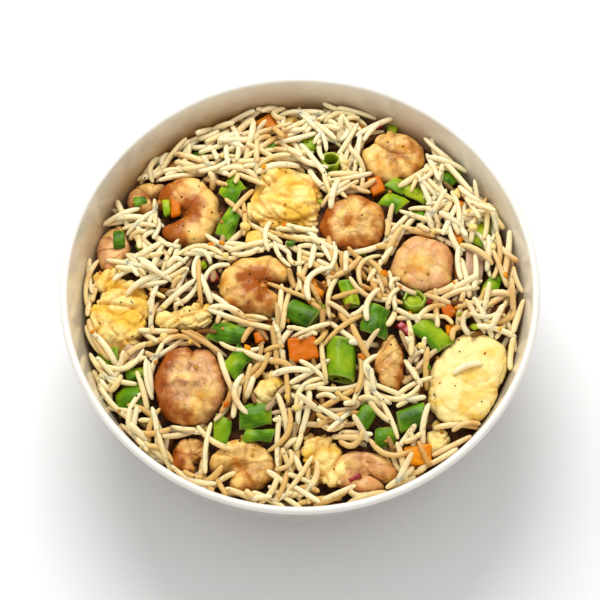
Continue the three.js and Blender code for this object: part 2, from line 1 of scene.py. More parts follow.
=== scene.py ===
import math
import bmesh
import bpy
import numpy as np
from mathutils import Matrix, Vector


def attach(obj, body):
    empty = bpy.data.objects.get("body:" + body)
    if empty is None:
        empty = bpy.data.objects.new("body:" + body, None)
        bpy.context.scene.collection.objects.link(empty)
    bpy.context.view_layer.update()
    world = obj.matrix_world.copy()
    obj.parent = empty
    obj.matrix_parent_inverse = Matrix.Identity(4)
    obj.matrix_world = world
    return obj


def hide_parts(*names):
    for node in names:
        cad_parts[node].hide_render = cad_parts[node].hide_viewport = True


# Shapes are worked out in millimetres, and turned to metres when a mesh is made.
# +X is to the right in the picture, +Y is away from the camera and +Z is up.
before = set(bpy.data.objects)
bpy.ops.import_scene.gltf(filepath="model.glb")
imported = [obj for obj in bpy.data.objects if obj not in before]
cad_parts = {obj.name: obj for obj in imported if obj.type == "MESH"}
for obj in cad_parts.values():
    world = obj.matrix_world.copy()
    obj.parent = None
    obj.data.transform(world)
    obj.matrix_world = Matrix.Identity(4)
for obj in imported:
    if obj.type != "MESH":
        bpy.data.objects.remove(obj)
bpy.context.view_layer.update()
millimetre = 0.001


def note(text):
    print(f"[fried rice] {text}", flush=True)


def colour(code):
    parts = [int(code[i:i + 2], 16) / 255 for i in (1, 3, 5)]
    return [p / 12.92 if p <= 0.04045 else ((p + 0.055) / 1.055) ** 2.4 for p in parts] + [1]


# Adds a shader node. Inputs are values or sockets, and stops fill a colour ramp.
def add(tree, kind, inputs=None, stops=None, **settings):
    made = tree.nodes.new("ShaderNode" + kind)
    for name, value in settings.items():
        setattr(made, name, value)
    for name, value in (inputs or {}).items():
        if isinstance(value, bpy.types.NodeSocket):
            tree.links.new(value, made.inputs[name])
        else:
            made.inputs[name].default_value = value
    if stops:
        ramp = made.color_ramp
        while len(ramp.elements) < len(stops):
            ramp.elements.new(0.5)
        for element, (place, code) in zip(ramp.elements, stops):
            element.position = place
            element.color = colour(code)
    return made


# Lays colours over a base, one after another. A layer is its share, its colour and how it is mixed.
def lay(tree, base, *layers):
    for share, over, *how in layers:
        over = colour(over) if isinstance(over, str) else over
        mix = add(tree, "Mix", {0: share, 6: base, 7: over}, data_type="RGBA",
                  blend_type=how[0] if how else "MIX")
        base = mix.outputs[2]
    return base


# A share that is high only where all of these are.
def together(tree, *shares):
    total = shares[0]
    for share in shares[1:]:
        total = add(tree, "Math", {0: total, 1: share}, operation="MULTIPLY").outputs[0]
    return total


# The named values that a mesh carries at its points.
def carried(tree, names):
    return [add(tree, "Attribute", attribute_name=name).outputs["Fac"] for name in names.split()]


# A noise pattern whose features are about size millimetres across.
def speckle(tree, size, detail=2.0, contrast=(0.0, 1.0), stretch=None):
    where = add(tree, "TexCoord").outputs["Object"]
    if stretch:
        where = add(tree, "Mapping", {"Vector": where, "Scale": stretch}).outputs["Vector"]
    noise = add(tree, "TexNoise", {"Vector": where, "Scale": 1 / (size * millimetre), "Detail": detail})
    return add(tree, "MapRange", {
        "Value": noise.outputs["Fac"], "From Min": contrast[0], "From Max": contrast[1],
    }, interpolation_type="SMOOTHSTEP").outputs["Result"]


def bumps(tree, size, depth, detail):
    height = speckle(tree, size, detail)
    return add(tree, "Bump", {
        "Height": height, "Strength": 1.0, "Distance": depth * millimetre,
    }).outputs["Normal"]


def newMaterial(name):
    material = bpy.data.materials.new(name)
    material.use_nodes = True
    material.node_tree.nodes.clear()
    return material, material.node_tree


def finishMaterial(tree, inputs):
    surface = add(tree, "BsdfPrincipled", inputs)
    add(tree, "OutputMaterial", {"Surface": surface.outputs["BSDF"]})


# Moist food under a thin wet film. Light goes a millimetre or two into it, and its warm part goes deepest.
def finishFood(tree, base, normal, roughness, ior, gloss, film, flesh, clear=0.0):
    finishMaterial(tree, {
        "Base Color": base,
        "Normal": normal,
        "Roughness": roughness,
        "IOR": ior,
        "Specular IOR Level": gloss,
        "Coat Weight": film[0],
        "Coat Roughness": film[1],
        "Subsurface Weight": flesh[0],
        "Subsurface Radius": [1.0, 0.8, 0.55],
        "Subsurface Scale": flesh[1] * millimetre,
        "Transmission Weight": clear,
    })


def makeMesh(name, points, faces, values=None):
    mesh = bpy.data.meshes.new(name)
    faces = np.asarray(faces, np.int32)
    corners = faces.shape[1]
    mesh.vertices.add(len(points))
    mesh.vertices.foreach_set("co", (np.asarray(points) * millimetre).astype(np.float32).ravel())
    mesh.loops.add(faces.size)
    mesh.loops.foreach_set("vertex_index", faces.ravel())
    mesh.polygons.add(len(faces))
    mesh.polygons.foreach_set("loop_start", np.arange(0, faces.size, corners, dtype=np.int32))
    mesh.polygons.foreach_set("use_smooth", np.ones(len(faces), bool))
    for key, value in (values or {}).items():
        layer = mesh.attributes.new(key, "FLOAT", "POINT")
        layer.data.foreach_set("value", np.broadcast_to(value, len(points)).astype(np.float32))
    mesh.update(calc_edges=True)
    mesh.validate()
    return mesh


def showPiece(name, shape, material, nodes=()):
    mesh = makeMesh(name, *shape)
    mesh.materials.append(material)
    piece = bpy.data.objects.new(name, mesh)
    scene.collection.objects.link(piece)
    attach(piece, "root")
    if nodes:
        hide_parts(*nodes)


# Several shapes as one: their points, faces and values one after another.
def joinShapes(shapes):
    start, points, faces, values = 0, [], [], {}
    for shapePoints, shapeFaces, shapeValues in shapes:
        points.append(shapePoints)
        faces.append(np.asarray(shapeFaces) + start)
        start += len(shapePoints)
        for key, value in shapeValues.items():
            values.setdefault(key, []).append(np.broadcast_to(value, len(shapePoints)))
    return np.concatenate(points), np.concatenate(faces), {k: np.concatenate(v) for k, v in values.items()}


# One dictionary for each row of a table, by the names of its columns.
def table(columns, rows):
    return [dict(zip(columns.split(), row)) for row in rows]


# Triangles of rings of points that close on themselves, with a point at each end.
def ringFaces(rings, around):
    i, j = np.meshgrid(np.arange(rings - 1), np.arange(around), indexing="ij")
    a, b = i * around + j, i * around + (j + 1) % around
    c, d = a + around, b + around
    sides = np.stack([a, b, d, a, d, c], -1).reshape(-1, 3)
    j = np.arange(around)
    following = (j + 1) % around
    first, last = rings * around, rings * around + 1
    top = (rings - 1) * around
    low = np.stack([np.full(around, first), following, j], -1)
    high = np.stack([np.full(around, last), top + j, top + following], -1)
    return np.concatenate([sides, low, high])


# Triangles of a sheet of points. A closed sheet joins its last row to its first.
def sheetFaces(rows, columns, closedRows=False, closedColumns=False):
    i, j = np.meshgrid(np.arange(rows - (not closedRows)), np.arange(columns - (not closedColumns)),
                       indexing="ij")
    a, b = i * columns + j, i * columns + (j + 1) % columns
    c, d = (i + 1) % rows * columns + j, (i + 1) % rows * columns + (j + 1) % columns
    return np.stack([a, b, d, a, d, c], -1).reshape(-1, 3)


# Smooth waves from -1 to 1 over points, about size millimetres from crest to crest.
def waves(points, size, seed, count=9):
    random = np.random.default_rng(seed)
    total = np.zeros(len(points))
    for _ in range(count):
        direction = random.normal(size=3)
        direction *= random.uniform(0.7, 1.4) * 2 * math.pi / size / np.linalg.norm(direction)
        total += np.sin(points @ direction + random.uniform(0, 2 * math.pi))
    return total / math.sqrt(count) / 1.5


def unit(vectors):
    return vectors / np.maximum(np.linalg.norm(vectors, axis=1), 1e-9)[:, None]


def circle(around):
    return np.linspace(0, 2 * math.pi, around, endpoint=False)


# Shares from 0 to 1 that lie closer together near both ends, without the ends themselves.
def eased(count):
    return (1 - np.cos(np.linspace(0, math.pi, count + 2)[1:-1])) / 2


def turned(points, degrees):
    c, s = math.cos(math.radians(degrees)), math.sin(math.radians(degrees))
    x, y, z = points.T
    return np.stack([c * x - s * y, s * x + c * y, z], 1)


def tipped(points, angle):
    c, s = math.cos(angle), math.sin(angle)
    x, y, z = points.T
    return np.stack([x, c * y - s * z, s * y + c * z], 1)


# The points of a profile of radii and heights that runs round the middle of the bowl.
def spun(profile, around):
    return np.stack([
        np.outer(profile[:, 0], np.cos(circle(around))),
        np.outer(profile[:, 0], np.sin(circle(around))),
        np.repeat(profile[:, 1:], around, 1),
    ], -1).reshape(-1, 3)


def outward(points, faces):
    a, b, c = (points[faces[:, i]] for i in range(3))
    faceNormals = np.cross(b - a, c - a)
    normals = np.zeros_like(points)
    for i in range(3):
        np.add.at(normals, faces[:, i], faceNormals)
    return unit(normals)


# Turns all faces round if the form is inside out.
def facingOut(points, faces):
    a, b, c = (points[faces[:, i]] for i in range(3))
    volume = np.einsum("ij,ij->i", a, np.cross(b, c)).sum()
    return faces if volume > 0 else faces[:, ::-1]


# Lengths in millimetres. The inner wall is painted darker and warmer by the food, most at the back, as
# painted shade and a painted reflection of the food; outside is painted shade on the outer wall under the
# rim; oilShare is how much oil is on the inner wall.
bowl = {
    "rimRadius": 82.5,
    "height": 62,
    "wall": 2.8,
    "lean": 0.2,
    "straight": 21,
    "footRadius": 39.5,
    "footWidth": 3,
    "footHeight": 5,
    "recess": 1.6,
    "glaze": ("#f2f0ea", "#e6e2d6"),
    "outside": "#a8a29a",
    "paintedWallShade": {"sides": "#fdf6e2", "back": "#c0954e"},
    "oil": "#c99f5c",
    "oilShare": 0.2,
}


def wallLine(inset, steps=40):
    lean, height = bowl["lean"], bowl["height"]
    top = np.array([bowl["rimRadius"], height - bowl["wall"] / 2 * (1 + lean)])
    bend = np.array([bowl["rimRadius"] - lean * bowl["straight"], height - bowl["straight"]])
    foot = np.array([bowl["footRadius"] + 1.5, bowl["footHeight"] + 1])
    pulls = [bend, bend - [lean * 22, 22], foot + [22, 2], foot]
    t = np.linspace(0, 1, steps)[:, None]
    weights = [(1 - t) ** 3, 3 * t * (1 - t) ** 2, 3 * t * t * (1 - t), t ** 3]
    belly = sum(w * p for w, p in zip(weights, pulls))
    line = np.concatenate([top + (bend - top) * np.linspace(0, 1, 10)[:-1, None], belly])
    along = unit(np.gradient(line, axis=0))
    inward = np.stack([along[:, 1], -along[:, 0]], 1)
    return line + inset * inward


def bowlShape():
    outside, inside = wallLine(0)[::-1], wallLine(bowl["wall"])
    middle = (outside[-1] + inside[0]) / 2
    turn = np.linspace(0, math.pi, 14)[1:-1, None]
    lip = middle + bowl["wall"] / 2 * np.concatenate([np.cos(turn), np.sin(turn)], 1)
    foot, recess = bowl["footRadius"], bowl["recess"]
    inner = foot - bowl["footWidth"]
    ring = [[0.01, recess], [inner - 2.4, recess], [inner - 1.2, recess - 0.3], [inner - 0.4, 0.5],
            [inner + 0.3, 0.05], [inner + 0.8, 0], [foot - 0.8, 0], [foot - 0.3, 0.06], [foot, 0.5],
            [foot + 0.3, bowl["footHeight"] - 2], [foot + 0.6, bowl["footHeight"] - 0.6]]
    profile = np.concatenate([ring, outside, lip, inside, [[0.01, inside[-1, 1]]]])
    around = 192
    points = spun(profile, around)
    return points, facingOut(points, sheetFaces(len(profile), around, closedColumns=True)), {}


# White porcelain: the glaze gives small clear reflections. Below the rim its inner wall is painted darker
# and warmer towards the food, most at the back, as painted shade and a painted reflection of the food, with
# a film of oil by the food. Under the rim its outer wall is painted grey as painted shade.
def porcelain():
    material, tree = newMaterial("glazed_porcelain")
    where = add(tree, "TexCoord").outputs["Object"]
    place = add(tree, "SeparateXYZ", {"Vector": where}).outputs
    flat = add(tree, "VectorMath", {0: where, 1: [1, 1, 0]}, operation="MULTIPLY").outputs["Vector"]
    normal = add(tree, "NewGeometry").outputs["Normal"]
    facing = add(tree, "VectorMath", {0: flat, 1: normal}, operation="DOT_PRODUCT").outputs["Value"]
    within = add(tree, "Math", {0: facing, 1: 0.0}, operation="LESS_THAN").outputs[0]  # the inner side
    outer = add(tree, "Math", {0: 1.0, 1: within}, operation="SUBTRACT").outputs[0]
    back = add(tree, "Math", {0: place["X"], 1: -0.3, 2: place["Y"]}, operation="MULTIPLY_ADD").outputs[0]
    # Shares that go from 0 to 1 as a place goes from one length in millimetres to another.
    band = {}
    for name, value, first, last, kind in (
        ("food", place["Z"], 56, 44, "SMOOTHSTEP"),
        ("paintedWallShade", place["Z"], 61.5, 47, "LINEAR"),
        ("outside", place["Z"], 61.2, 59.8, "LINEAR"),
        ("back", back, 30, 80, "LINEAR"),
    ):
        band[name] = add(tree, "MapRange", {
            "Value": value, "From Min": first * millimetre, "From Max": last * millimetre,
        }, interpolation_type=kind).outputs["Result"]
    # Painted shade and a painted reflection of the food: the inner wall is multiplied darker and warmer
    # from just below the rim down to the food, most towards the back and left.
    paintedWallShade = lay(tree, colour(bowl["paintedWallShade"]["sides"]), (band["back"], bowl["paintedWallShade"]["back"]))
    oily = together(tree, band["food"], speckle(tree, 6, 3, (0.35, 0.7)), within, bowl["oilShare"])
    base = lay(
        tree, colour(bowl["glaze"][0]),
        (speckle(tree, 14), bowl["glaze"][1]),
        (together(tree, band["paintedWallShade"], within), paintedWallShade, "MULTIPLY"),
        # Painted shade: the outer wall under the rim is painted grey.
        (together(tree, outer, band["outside"]), bowl["outside"]),
        (oily, bowl["oil"]))
    finishMaterial(tree, {
        "Base Color": base,
        "Roughness": 0.22,
        "IOR": 1.5,
        "Coat Weight": 0.5,
        "Coat Roughness": 0.06,
    })
    return material


# The heap that the food makes, in millimetres. Its edge is edgeDepth below the rim, and edgeLean lower
# towards +X and +Y. The leaves lie coreDepth below its top, and the dark core starts at lookDepth.
heap = {
    "crown": 54.3,
    "edgeDepth": 16,
    "edgeLean": [-3.5, -1],
    "edgeRadius": 77,
    "coreDepth": 1.9,
    "lookDepth": 4.4,
}


def heapHeight(x, y):
    radius = np.hypot(x, y)
    side = (heap["edgeLean"][0] * x + heap["edgeLean"][1] * y) / np.maximum(radius, 1e-6)
    edge = bowl["height"] - heap["edgeDepth"] - side
    return heap["crown"] - (heap["crown"] - edge) * (radius / heap["edgeRadius"]) ** 2.2


def coreHeight(x, y):
    return heapHeight(x, y) - heap["coreDepth"]


def layOnHeap(points, at, turn, rise):
    points = turned(points, turn)
    top = heapHeight(*at) + rise
    return points + [at[0], at[1], top - points[:, 2].max()]


prawnLook = {
    "pale": "#f2cc7c",
    "flesh": "#da9a34",
    "pink": "#dca67a",
    "amber": "#a65408",
    "sear": "#6a3006",
    "specks": "#4a2208",
}

# at, size and thick in millimetres; the body starts at start degrees and runs through sweep degrees;
# rise is its height above the heap and pink how pink its flesh is. amber is how deep the glaze is on its
# sides, facing the side in degrees that has most, round how much of it the others have, and core how deep
# it is in the middle of the curl. sear is for its top. filled is the width and height of the flesh in the
# middle of the curl, as shares of the prawn's.
prawns = table("at size thick start sweep rise pink amber facing round core sear filled", [
    ((-39, 34), (22, 28), 12, 165, -318, 2.6, 0.1, 1.0, 190, 0.1, 0.9, 0.1, (0.3, 0.6)),
    ((18.5, 28.5), (23, 23), 12, 95, -351, 2.2, 0.1, 0.85, 215, 0.8, 0.45, 0.4, (0.66, 1.0)),
    ((33.5, 55.5), (22, 20), 12, 130, -349, 3.4, 0.1, 0.5, -20, 0.25, 0.55, 0.6, (0.45, 0.8)),
    ((-15.5, 4.5), (26, 23), 11, -42, -306, 1.8, 0.0, 0.6, -60, 0.4, 1.3, 0.12, (0.4, 0.72)),
    ((43, 13), (22, 21.5), 11, -70, 351, 2.2, 0.8, 0.35, 20, 0.15, 0.0, 0.05, (0.84, 1.04)),
    ((-37.5, -31.5), (25, 29), 12, 95, 350, 2.6, 0.8, 0.9, 180, 0.5, 0.1, 0.55, (0.78, 1.02)),
    ((30.5, -24.5), (10.5, 21), 10, 60, -95, 2, 0.3, 0.7, 0, 0.5, 0.4, 0.4, (0.88, 0.94)),
    ((-19.5, -60), (22, 18), 10, 200, -330, 2.2, 0.0, 0.5, -90, 0.4, 0.4, 0.5, (0.45, 0.8)),
    ((21.5, -62.5), (23, 15), 9, -30, 342, 1.6, 0.7, 0.4, -90, 0.3, 0.3, 0.5, (0.4, 0.75)),
    ((-66, 22.5), (12, 18), 9, 100, 145, 1.6, 0.9, 0.3, 180, 0.3, 0.2, 0.15, (0.3, 0.5)),
    ((-55, 41.5), (14, 12), 8, 40, 250, 1.6, 0.6, 0.6, 180, 0.4, 0.5, 0.3, (0.3, 0.5)),
    ((-37, -56), (13, 13), 8, 0, 285, 0.6, 0.4, 0.8, -120, 0.6, 0.6, 0.9, (0.4, 0.7)),
])


# A prawn curled on its side: rings along a body that tapers and winds in towards its tail.
def prawnShape(prawn, seed):
    rings, around = 130, 52
    body, tail, spiral, drop = 0.49, 0.1, 0.06, 0.2
    t = 0.45 * eased(rings) + 0.55 * np.linspace(0, 1, rings + 2)[1:-1]
    t, ring = (a.ravel() for a in np.meshgrid(t, circle(around), indexing="ij"))
    start, sweep = prawn["start"], prawn["sweep"]
    closed = abs(sweep) > 340
    if closed:  # a tight curl runs on at both ends, so that they meet
        start, sweep = start - math.copysign(11, sweep), sweep + math.copysign(22, sweep)
    blunt = np.maximum(0, 1 - np.abs(2 * t - 1) ** (30 if closed else 8)) ** (1 / 2.2)
    taper = 1 - tail * t ** 1.6
    plate = (t * 4.6 + 0.3 + 0.06 * np.sin(2 * ring)) % 1
    back = np.clip(np.cos(ring) * 0.5 + 0.75, 0, 1)
    groove = np.exp(-((plate - 0.04) / 0.07) ** 2) + np.exp(-((plate - 1.04) / 0.07) ** 2)
    rib = 1 + (0.5 if closed else 1) * back * (0.036 * plate - 0.055 * groove)
    width = body * taper * blunt * rib
    angle = np.radians(start + sweep * t)
    power = np.where(np.cos(ring) < 0, 0.5, 0.85)
    out, up = (np.sign(v) * np.abs(v) ** power for v in (np.cos(ring), np.sin(ring)))
    radius = 1 - body * taper - spiral * t ** 2 + width * out
    high = (1 - drop * t) * width / body * up
    points = np.stack([radius * np.cos(angle), radius * np.sin(angle), high], 1)
    ends = []
    for end in (0, 1):
        away = math.radians(start + sweep * end)
        reach = 1 - body * (1 - tail * end) - spiral * end
        ends.append([reach * math.cos(away), reach * math.sin(away), 0])
    points = np.concatenate([points, ends])
    low, high = points.min(0), points.max(0)
    size = np.array([*prawn["size"], prawn["thick"]])
    points = (points - (low + high) / 2) / (high - low) * size
    faces = facingOut(points, ringFaces(rings, around))
    filling, fillingFaces = ballShape(5)
    wide, tall = prawn["filled"]
    rounded = np.sign(filling) * np.abs(filling) ** [1, 1, 0.6]
    filling = rounded * [wide, wide, tall] * size / 2
    lumps = 0.7 * waves(filling, 9, seed + 30, 5) + waves(filling, 4, seed + 40)
    filling = filling + outward(filling, fillingFaces) * ((0.25 + 0.4 * prawn["sear"]) * lumps)[:, None]
    faces = np.concatenate([faces, fillingFaces + len(points)])
    points = np.concatenate([points, filling])
    outline = points / size * 2
    rough = 0.6 * waves(points, 10, seed, 5) + (0.12 + 0.45 * prawn["sear"]) * waves(points, 4.5, seed + 50)
    points = points + outward(points, faces) * rough[:, None]
    x, y = prawn["at"]
    top = float(heapHeight(x, y)) + prawn["rise"]
    points = points + [x, y, top - prawn["thick"] / 2]
    far = np.hypot(outline[:, 0], outline[:, 1])
    facing = np.cos(np.arctan2(outline[:, 1], outline[:, 0]) - math.radians(prawn["facing"]))
    spread = prawn["round"] + (1 - prawn["round"]) * np.clip(facing + 0.3, 0, 1)
    rim = np.clip((far - 0.35) / 0.5, 0, 1) * spread
    middle = np.clip(1.25 - far / 0.6, 0, 1)
    return points, faces, {
        "amber": np.clip(prawn["amber"] * rim + prawn["core"] * middle, 0, 1.3),
        "sear": prawn["sear"] * np.clip(outline[:, 2] * 1.6 - 0.6, 0, 1),
        "groove": np.concatenate([groove * back, np.zeros(2 + len(filling))]),
        "pink": prawn["pink"],
    }


# Fried prawn: pale or pink firm flesh under an amber glaze that lies unevenly, seared in patches on top.
def prawnFlesh():
    material, tree = newMaterial("fried_prawn_flesh")
    pink, amber, groove, sear = carried(tree, "pink amber groove sear")
    uneven = add(tree, "Math", {0: speckle(tree, 5, 4, (0.3, 0.7)), 1: 0.5, 2: amber},
                 operation="MULTIPLY_ADD").outputs[0]
    glazed = add(tree, "MapRange", {"Value": uneven, "From Min": 0.45, "From Max": 1.15, "To Max": 0.94},
                 interpolation_type="SMOOTHSTEP").outputs["Result"]
    base = lay(
        tree, colour(prawnLook["pale"]),
        (speckle(tree, 6, 3, (0.45, 0.7)), prawnLook["flesh"]),
        (together(tree, pink, speckle(tree, 8, 3, (0.3, 0.6))), prawnLook["pink"]),
        (glazed, prawnLook["amber"]),
        (together(tree, groove, 0.35), prawnLook["amber"]),
        (together(tree, sear, speckle(tree, 3.4, 8, (0.46, 0.74))), prawnLook["sear"]),
        (together(tree, sear, speckle(tree, 1.0, 2, (0.66, 0.72))), prawnLook["specks"]))
    finishFood(tree, base, bumps(tree, 1.8, 0.35, 4), roughness=0.45, ior=1.38, gloss=0.15,
               film=(0.3, 0.08), flesh=(0.15, 1.6))
    return material


eggLook = {"milky": "#fae6a4", "pale": "#fae49c", "yolk": "#f0c552", "gold": "#d0901c", "crust": "#98580c"}

eggs = table("at size thick turn rise fold seed", [
    ((-5, 38.5), (26, 26), 11, 0, 2.6, 0.13, 1),
    ((-62, -4), (20, 25), 9, -12, 2.2, 0.13, 4),
    ((-40, -7), (20, 9), 7, 8, 1.2, 0.12, 7),
    ((57.5, -29), (24, 35), 9, -24, 3, 0.05, 5),
    ((-67.5, 9.5), (10, 9), 7, 20, 1.2, 0.1, 2),
    ((8.5, -58), (13, 20), 8, 18, 1.4, 0.12, 3),
    ((-11, -33.5), (8, 12), 7, -30, 1, 0.1, 6),
    ((46.5, -52), (8, 9), 6, 0, 1, 0.1, 8),
])


# The same repeatable numbers as in the part's source, so that the folds fall in the same places.
def repeatable(seed):
    state = seed * 2654435761 % 4294967296
    while True:
        state = (state * 1664525 + 1013904223) % 4294967296
        yield state / 4294967296


def pointsAndFaces(form):
    points = np.array([v.co[:] for v in form.verts])
    faces = np.array([[v.index for v in f.verts] for f in form.faces])
    form.free()
    return points, faces


def ballShape(level):
    ball = bmesh.new()
    bmesh.ops.create_icosphere(ball, subdivisions=level, radius=1)
    points, faces = pointsAndFaces(ball)
    return unit(points), faces


def eggShape(egg):
    corner, faces = ballShape(6 if max(egg["size"]) > 15 else 5)
    random = repeatable(egg["seed"])
    lumps = np.zeros(len(corner))
    for _ in range(5):
        direction = np.array([next(random) - 0.5, next(random) - 0.5, 0.5 * (next(random) - 0.5)])
        direction *= (3 + 4 * next(random)) / np.linalg.norm(direction)
        lumps += np.sin(corner @ direction + 6.3 * next(random))
    square = (np.abs(corner) ** 3).sum(1) ** (-1 / 3)
    points = corner * ((0.35 + 0.65 * square) * (1 + egg["fold"] * lumps / 2))[:, None]
    points = points * [egg["size"][0] / 2, egg["size"][1] / 2, egg["thick"] / 2]
    soft = 0.3 + 0.7 * egg["fold"] / 0.13
    fold = waves(points * [1, 1, 0.6], 19, egg["seed"], 5)
    crease = np.exp(-(fold / 0.14) ** 2)
    curd = np.exp(-(waves(points, 8, egg["seed"] + 20, 7) / 0.25) ** 2)
    fine = np.exp(-(waves(points, 4.5, egg["seed"] + 40, 7) / 0.3) ** 2)
    dent = soft ** 1.5 * (1.2 * crease + 1.0 * curd + 0.4 * fine) - 0.5 * soft
    points = points - outward(points, faces) * dent[:, None]
    points = layOnHeap(points, egg["at"], egg["turn"], egg["rise"])
    return points, faces, {"crease": np.clip(0.8 * crease + 0.45 * curd + 0.15 * fine, 0, 1),
                           "milky": min(1, 2 * (1 - soft))}


# Scrambled egg: opaque pale curd, golden in its folds and browned where it met the pan.
def eggCurd():
    material, tree = newMaterial("scrambled_egg")
    crease, milky = carried(tree, "crease milky")
    golden = add(tree, "Math", {0: milky, 1: -0.4, 2: 0.6}, operation="MULTIPLY_ADD").outputs[0]
    base = lay(
        tree, colour(eggLook["pale"]),
        (speckle(tree, 9, 3, (0.35, 0.68)), eggLook["yolk"]),
        (together(tree, crease, golden), eggLook["gold"]),
        (speckle(tree, 6, 5, (0.60, 0.72)), eggLook["gold"]),
        (speckle(tree, 4, 5, (0.68, 0.78)), eggLook["crust"]),
        (milky, eggLook["milky"]),
        (together(tree, speckle(tree, 9, 4, (0.5, 0.66)), 0.75), eggLook["yolk"]))
    finishFood(tree, base, bumps(tree, 1.8, 0.3, 4), roughness=0.5, ior=1.36, gloss=0.2,
               film=(0.1, 0.2), flesh=(0.25, 2.0))
    return material


scallionLook = {"dark": "#265008", "green": "#62940c", "lime": "#adbc22", "pale": "#cdd27a",
                "patch": "#2f5606"}

# shade runs from dark green at 0 to yellow-green at 1.
scallions = table("kind at size turn rise shade", [
    ("leaf", (-24, 42), (10, 8), 60, 2.2, 0.35),
    ("leaf", (-24.8, 28.5), (13.5, 6.5), 66, 2.2, 0.3),
    ("leaf", (38.5, 41.5), (17, 5.5), -28, 2.6, 0.65),
    ("leaf", (33, 36.5), (8.5, 7), -28, 1.4, 0.45),
    ("ring", (39.5, -2.5), (8.5, 8.5), 0, 2.2, 0.3),
    ("tube", (0.5, -7), (10.5, 8.5), -26, 1.6, 0.1),
    ("tube", (14, -23.5), (14.5, 10.5), 88, 1.8, 0.5),
    ("tube", (17, 0.5), (9.5, 6), 104, 1.4, 0.65),
    ("leaf", (26, -9.5), (12, 9.5), 80, 0.6, 0.15),
    ("leaf", (45.5, -14.5), (14, 8.5), -42, 1.6, 0.35),
    ("leaf", (-57.5, -35), (12.5, 9.5), 24, 2, 0.3),
    ("leaf", (-25, -14), (13, 7.5), -14, 2.2, 0.2),
    ("leaf", (-21.5, -24.5), (10.5, 7.5), 55, 1.2, 0.25),
    ("leaf", (-15, -43.5), (12, 8.5), 8, 2, 0.3),
    ("leaf", (-26.5, -48.5), (11, 6), 82, 0.6, 0.2),
    ("leaf", (-14, -50.4), (11, 4.5), 0, 0.8, 0.25),
    ("tube", (38, -44), (10, 8.5), 20, 1.8, 0.3),
    ("leaf", (29, -51), (8.5, 7), 15, 1, 0.3),
    ("tube", (22, -44), (7, 6.5), 60, 1.4, 0.4),
    ("ring", (11, 53), (7.5, 6), 0, 2, 0.8),
    ("leaf", (64, 25), (10.5, 5.5), 72, 1, 0.4),
    ("leaf", (54, 47.5), (8, 6.5), 30, 0.4, 0.25),
    ("leaf", (66.5, 4), (9.5, 5.5), 62, 1, 0.4),
    ("leaf", (-66.5, -19.5), (8.5, 6), 14, 1, 0.3),
])


# A thin piece with rounded edges. rule turns places u and v from -1 to 1 into its middle sheet.
def slabShape(rule, thickness, long=26, wide=16):
    ends = np.linspace(-1, 1, long), np.linspace(-1, 1, wide)
    u, v = (a.ravel() for a in np.meshgrid(*ends, indexing="ij"))
    middle = rule(u, v)
    grid = middle.reshape(long, wide, 3)
    normal = unit(np.cross(np.gradient(grid, axis=0), np.gradient(grid, axis=1)).reshape(-1, 3))
    edge = np.minimum(1 - np.abs(u), (1 - np.abs(v)) * wide / long * 1.6)
    half = thickness / 2 * (0.35 + 0.65 * np.sqrt(np.clip(1 - (1 - np.clip(edge * 7, 0, 1)) ** 2, 0, 1)))
    points = np.concatenate([middle + normal * half[:, None], middle - normal * half[:, None]])
    sheet = sheetFaces(long, wide)
    count = long * wide
    i, j = np.arange(long), np.arange(wide)
    border = np.concatenate([i[:-1] * wide, (long - 1) * wide + j[:-1], (i * wide + wide - 1)[:0:-1],
                             j[:0:-1]])
    following = np.roll(border, -1)
    rim = np.stack([border, following, following + count, border, following + count, border + count], -1)
    faces = np.concatenate([sheet, sheet[:, ::-1] + count, rim.reshape(-1, 3)])
    edgeMark = np.tile(np.clip(1 - edge * 9, 0, 1), 2)
    return points, faces, {"edge": edgeMark, "across": np.tile(v, 2),
                           "inside": np.repeat([0.0, 1.0], count)}


def leafShape(leaf, seed):
    (length, width), (x, y) = np.array(leaf["size"]) * 0.93, leaf["at"]
    bend = 0.5 + 0.2 * leaf["rise"]
    random = np.random.default_rng(seed)
    lean, ripple = random.uniform(-0.12, 0.12), random.uniform(0, 6)

    def rule(u, v):
        across = v * width / 2 * (1 + 0.1 * np.sin(3 * u + ripple) + 0.02 * np.sin(9 * u + 2 * ripple))
        keel = 0.11 * width * (1 - v * v) + 0.05 * width * (1 - np.abs(v))
        high = keel + bend * (1 - u * u) + 0.25 * np.sin(4 * u + 3 * v + ripple)
        return np.stack([u * length / 2 + (0.25 + lean) * across, across, high], 1)

    points, faces, values = slabShape(rule, 1.25)
    points = turned(points, leaf["turn"])
    up = Vector((coreHeight(x - 1, y) - coreHeight(x + 1, y),
                 coreHeight(x, y - 1) - coreHeight(x, y + 1), 2))
    tilt = np.array(Vector((0, 0, 1)).rotation_difference(up.normalized()).to_matrix())
    points = points @ tilt.T + [x, y, 0]
    points[:, 2] += 0.45 - (points[:, 2] - coreHeight(points[:, 0], points[:, 1])).min()
    return points, facingOut(points, faces), {**values, "shade": leaf["shade"], "seed": float(seed)}


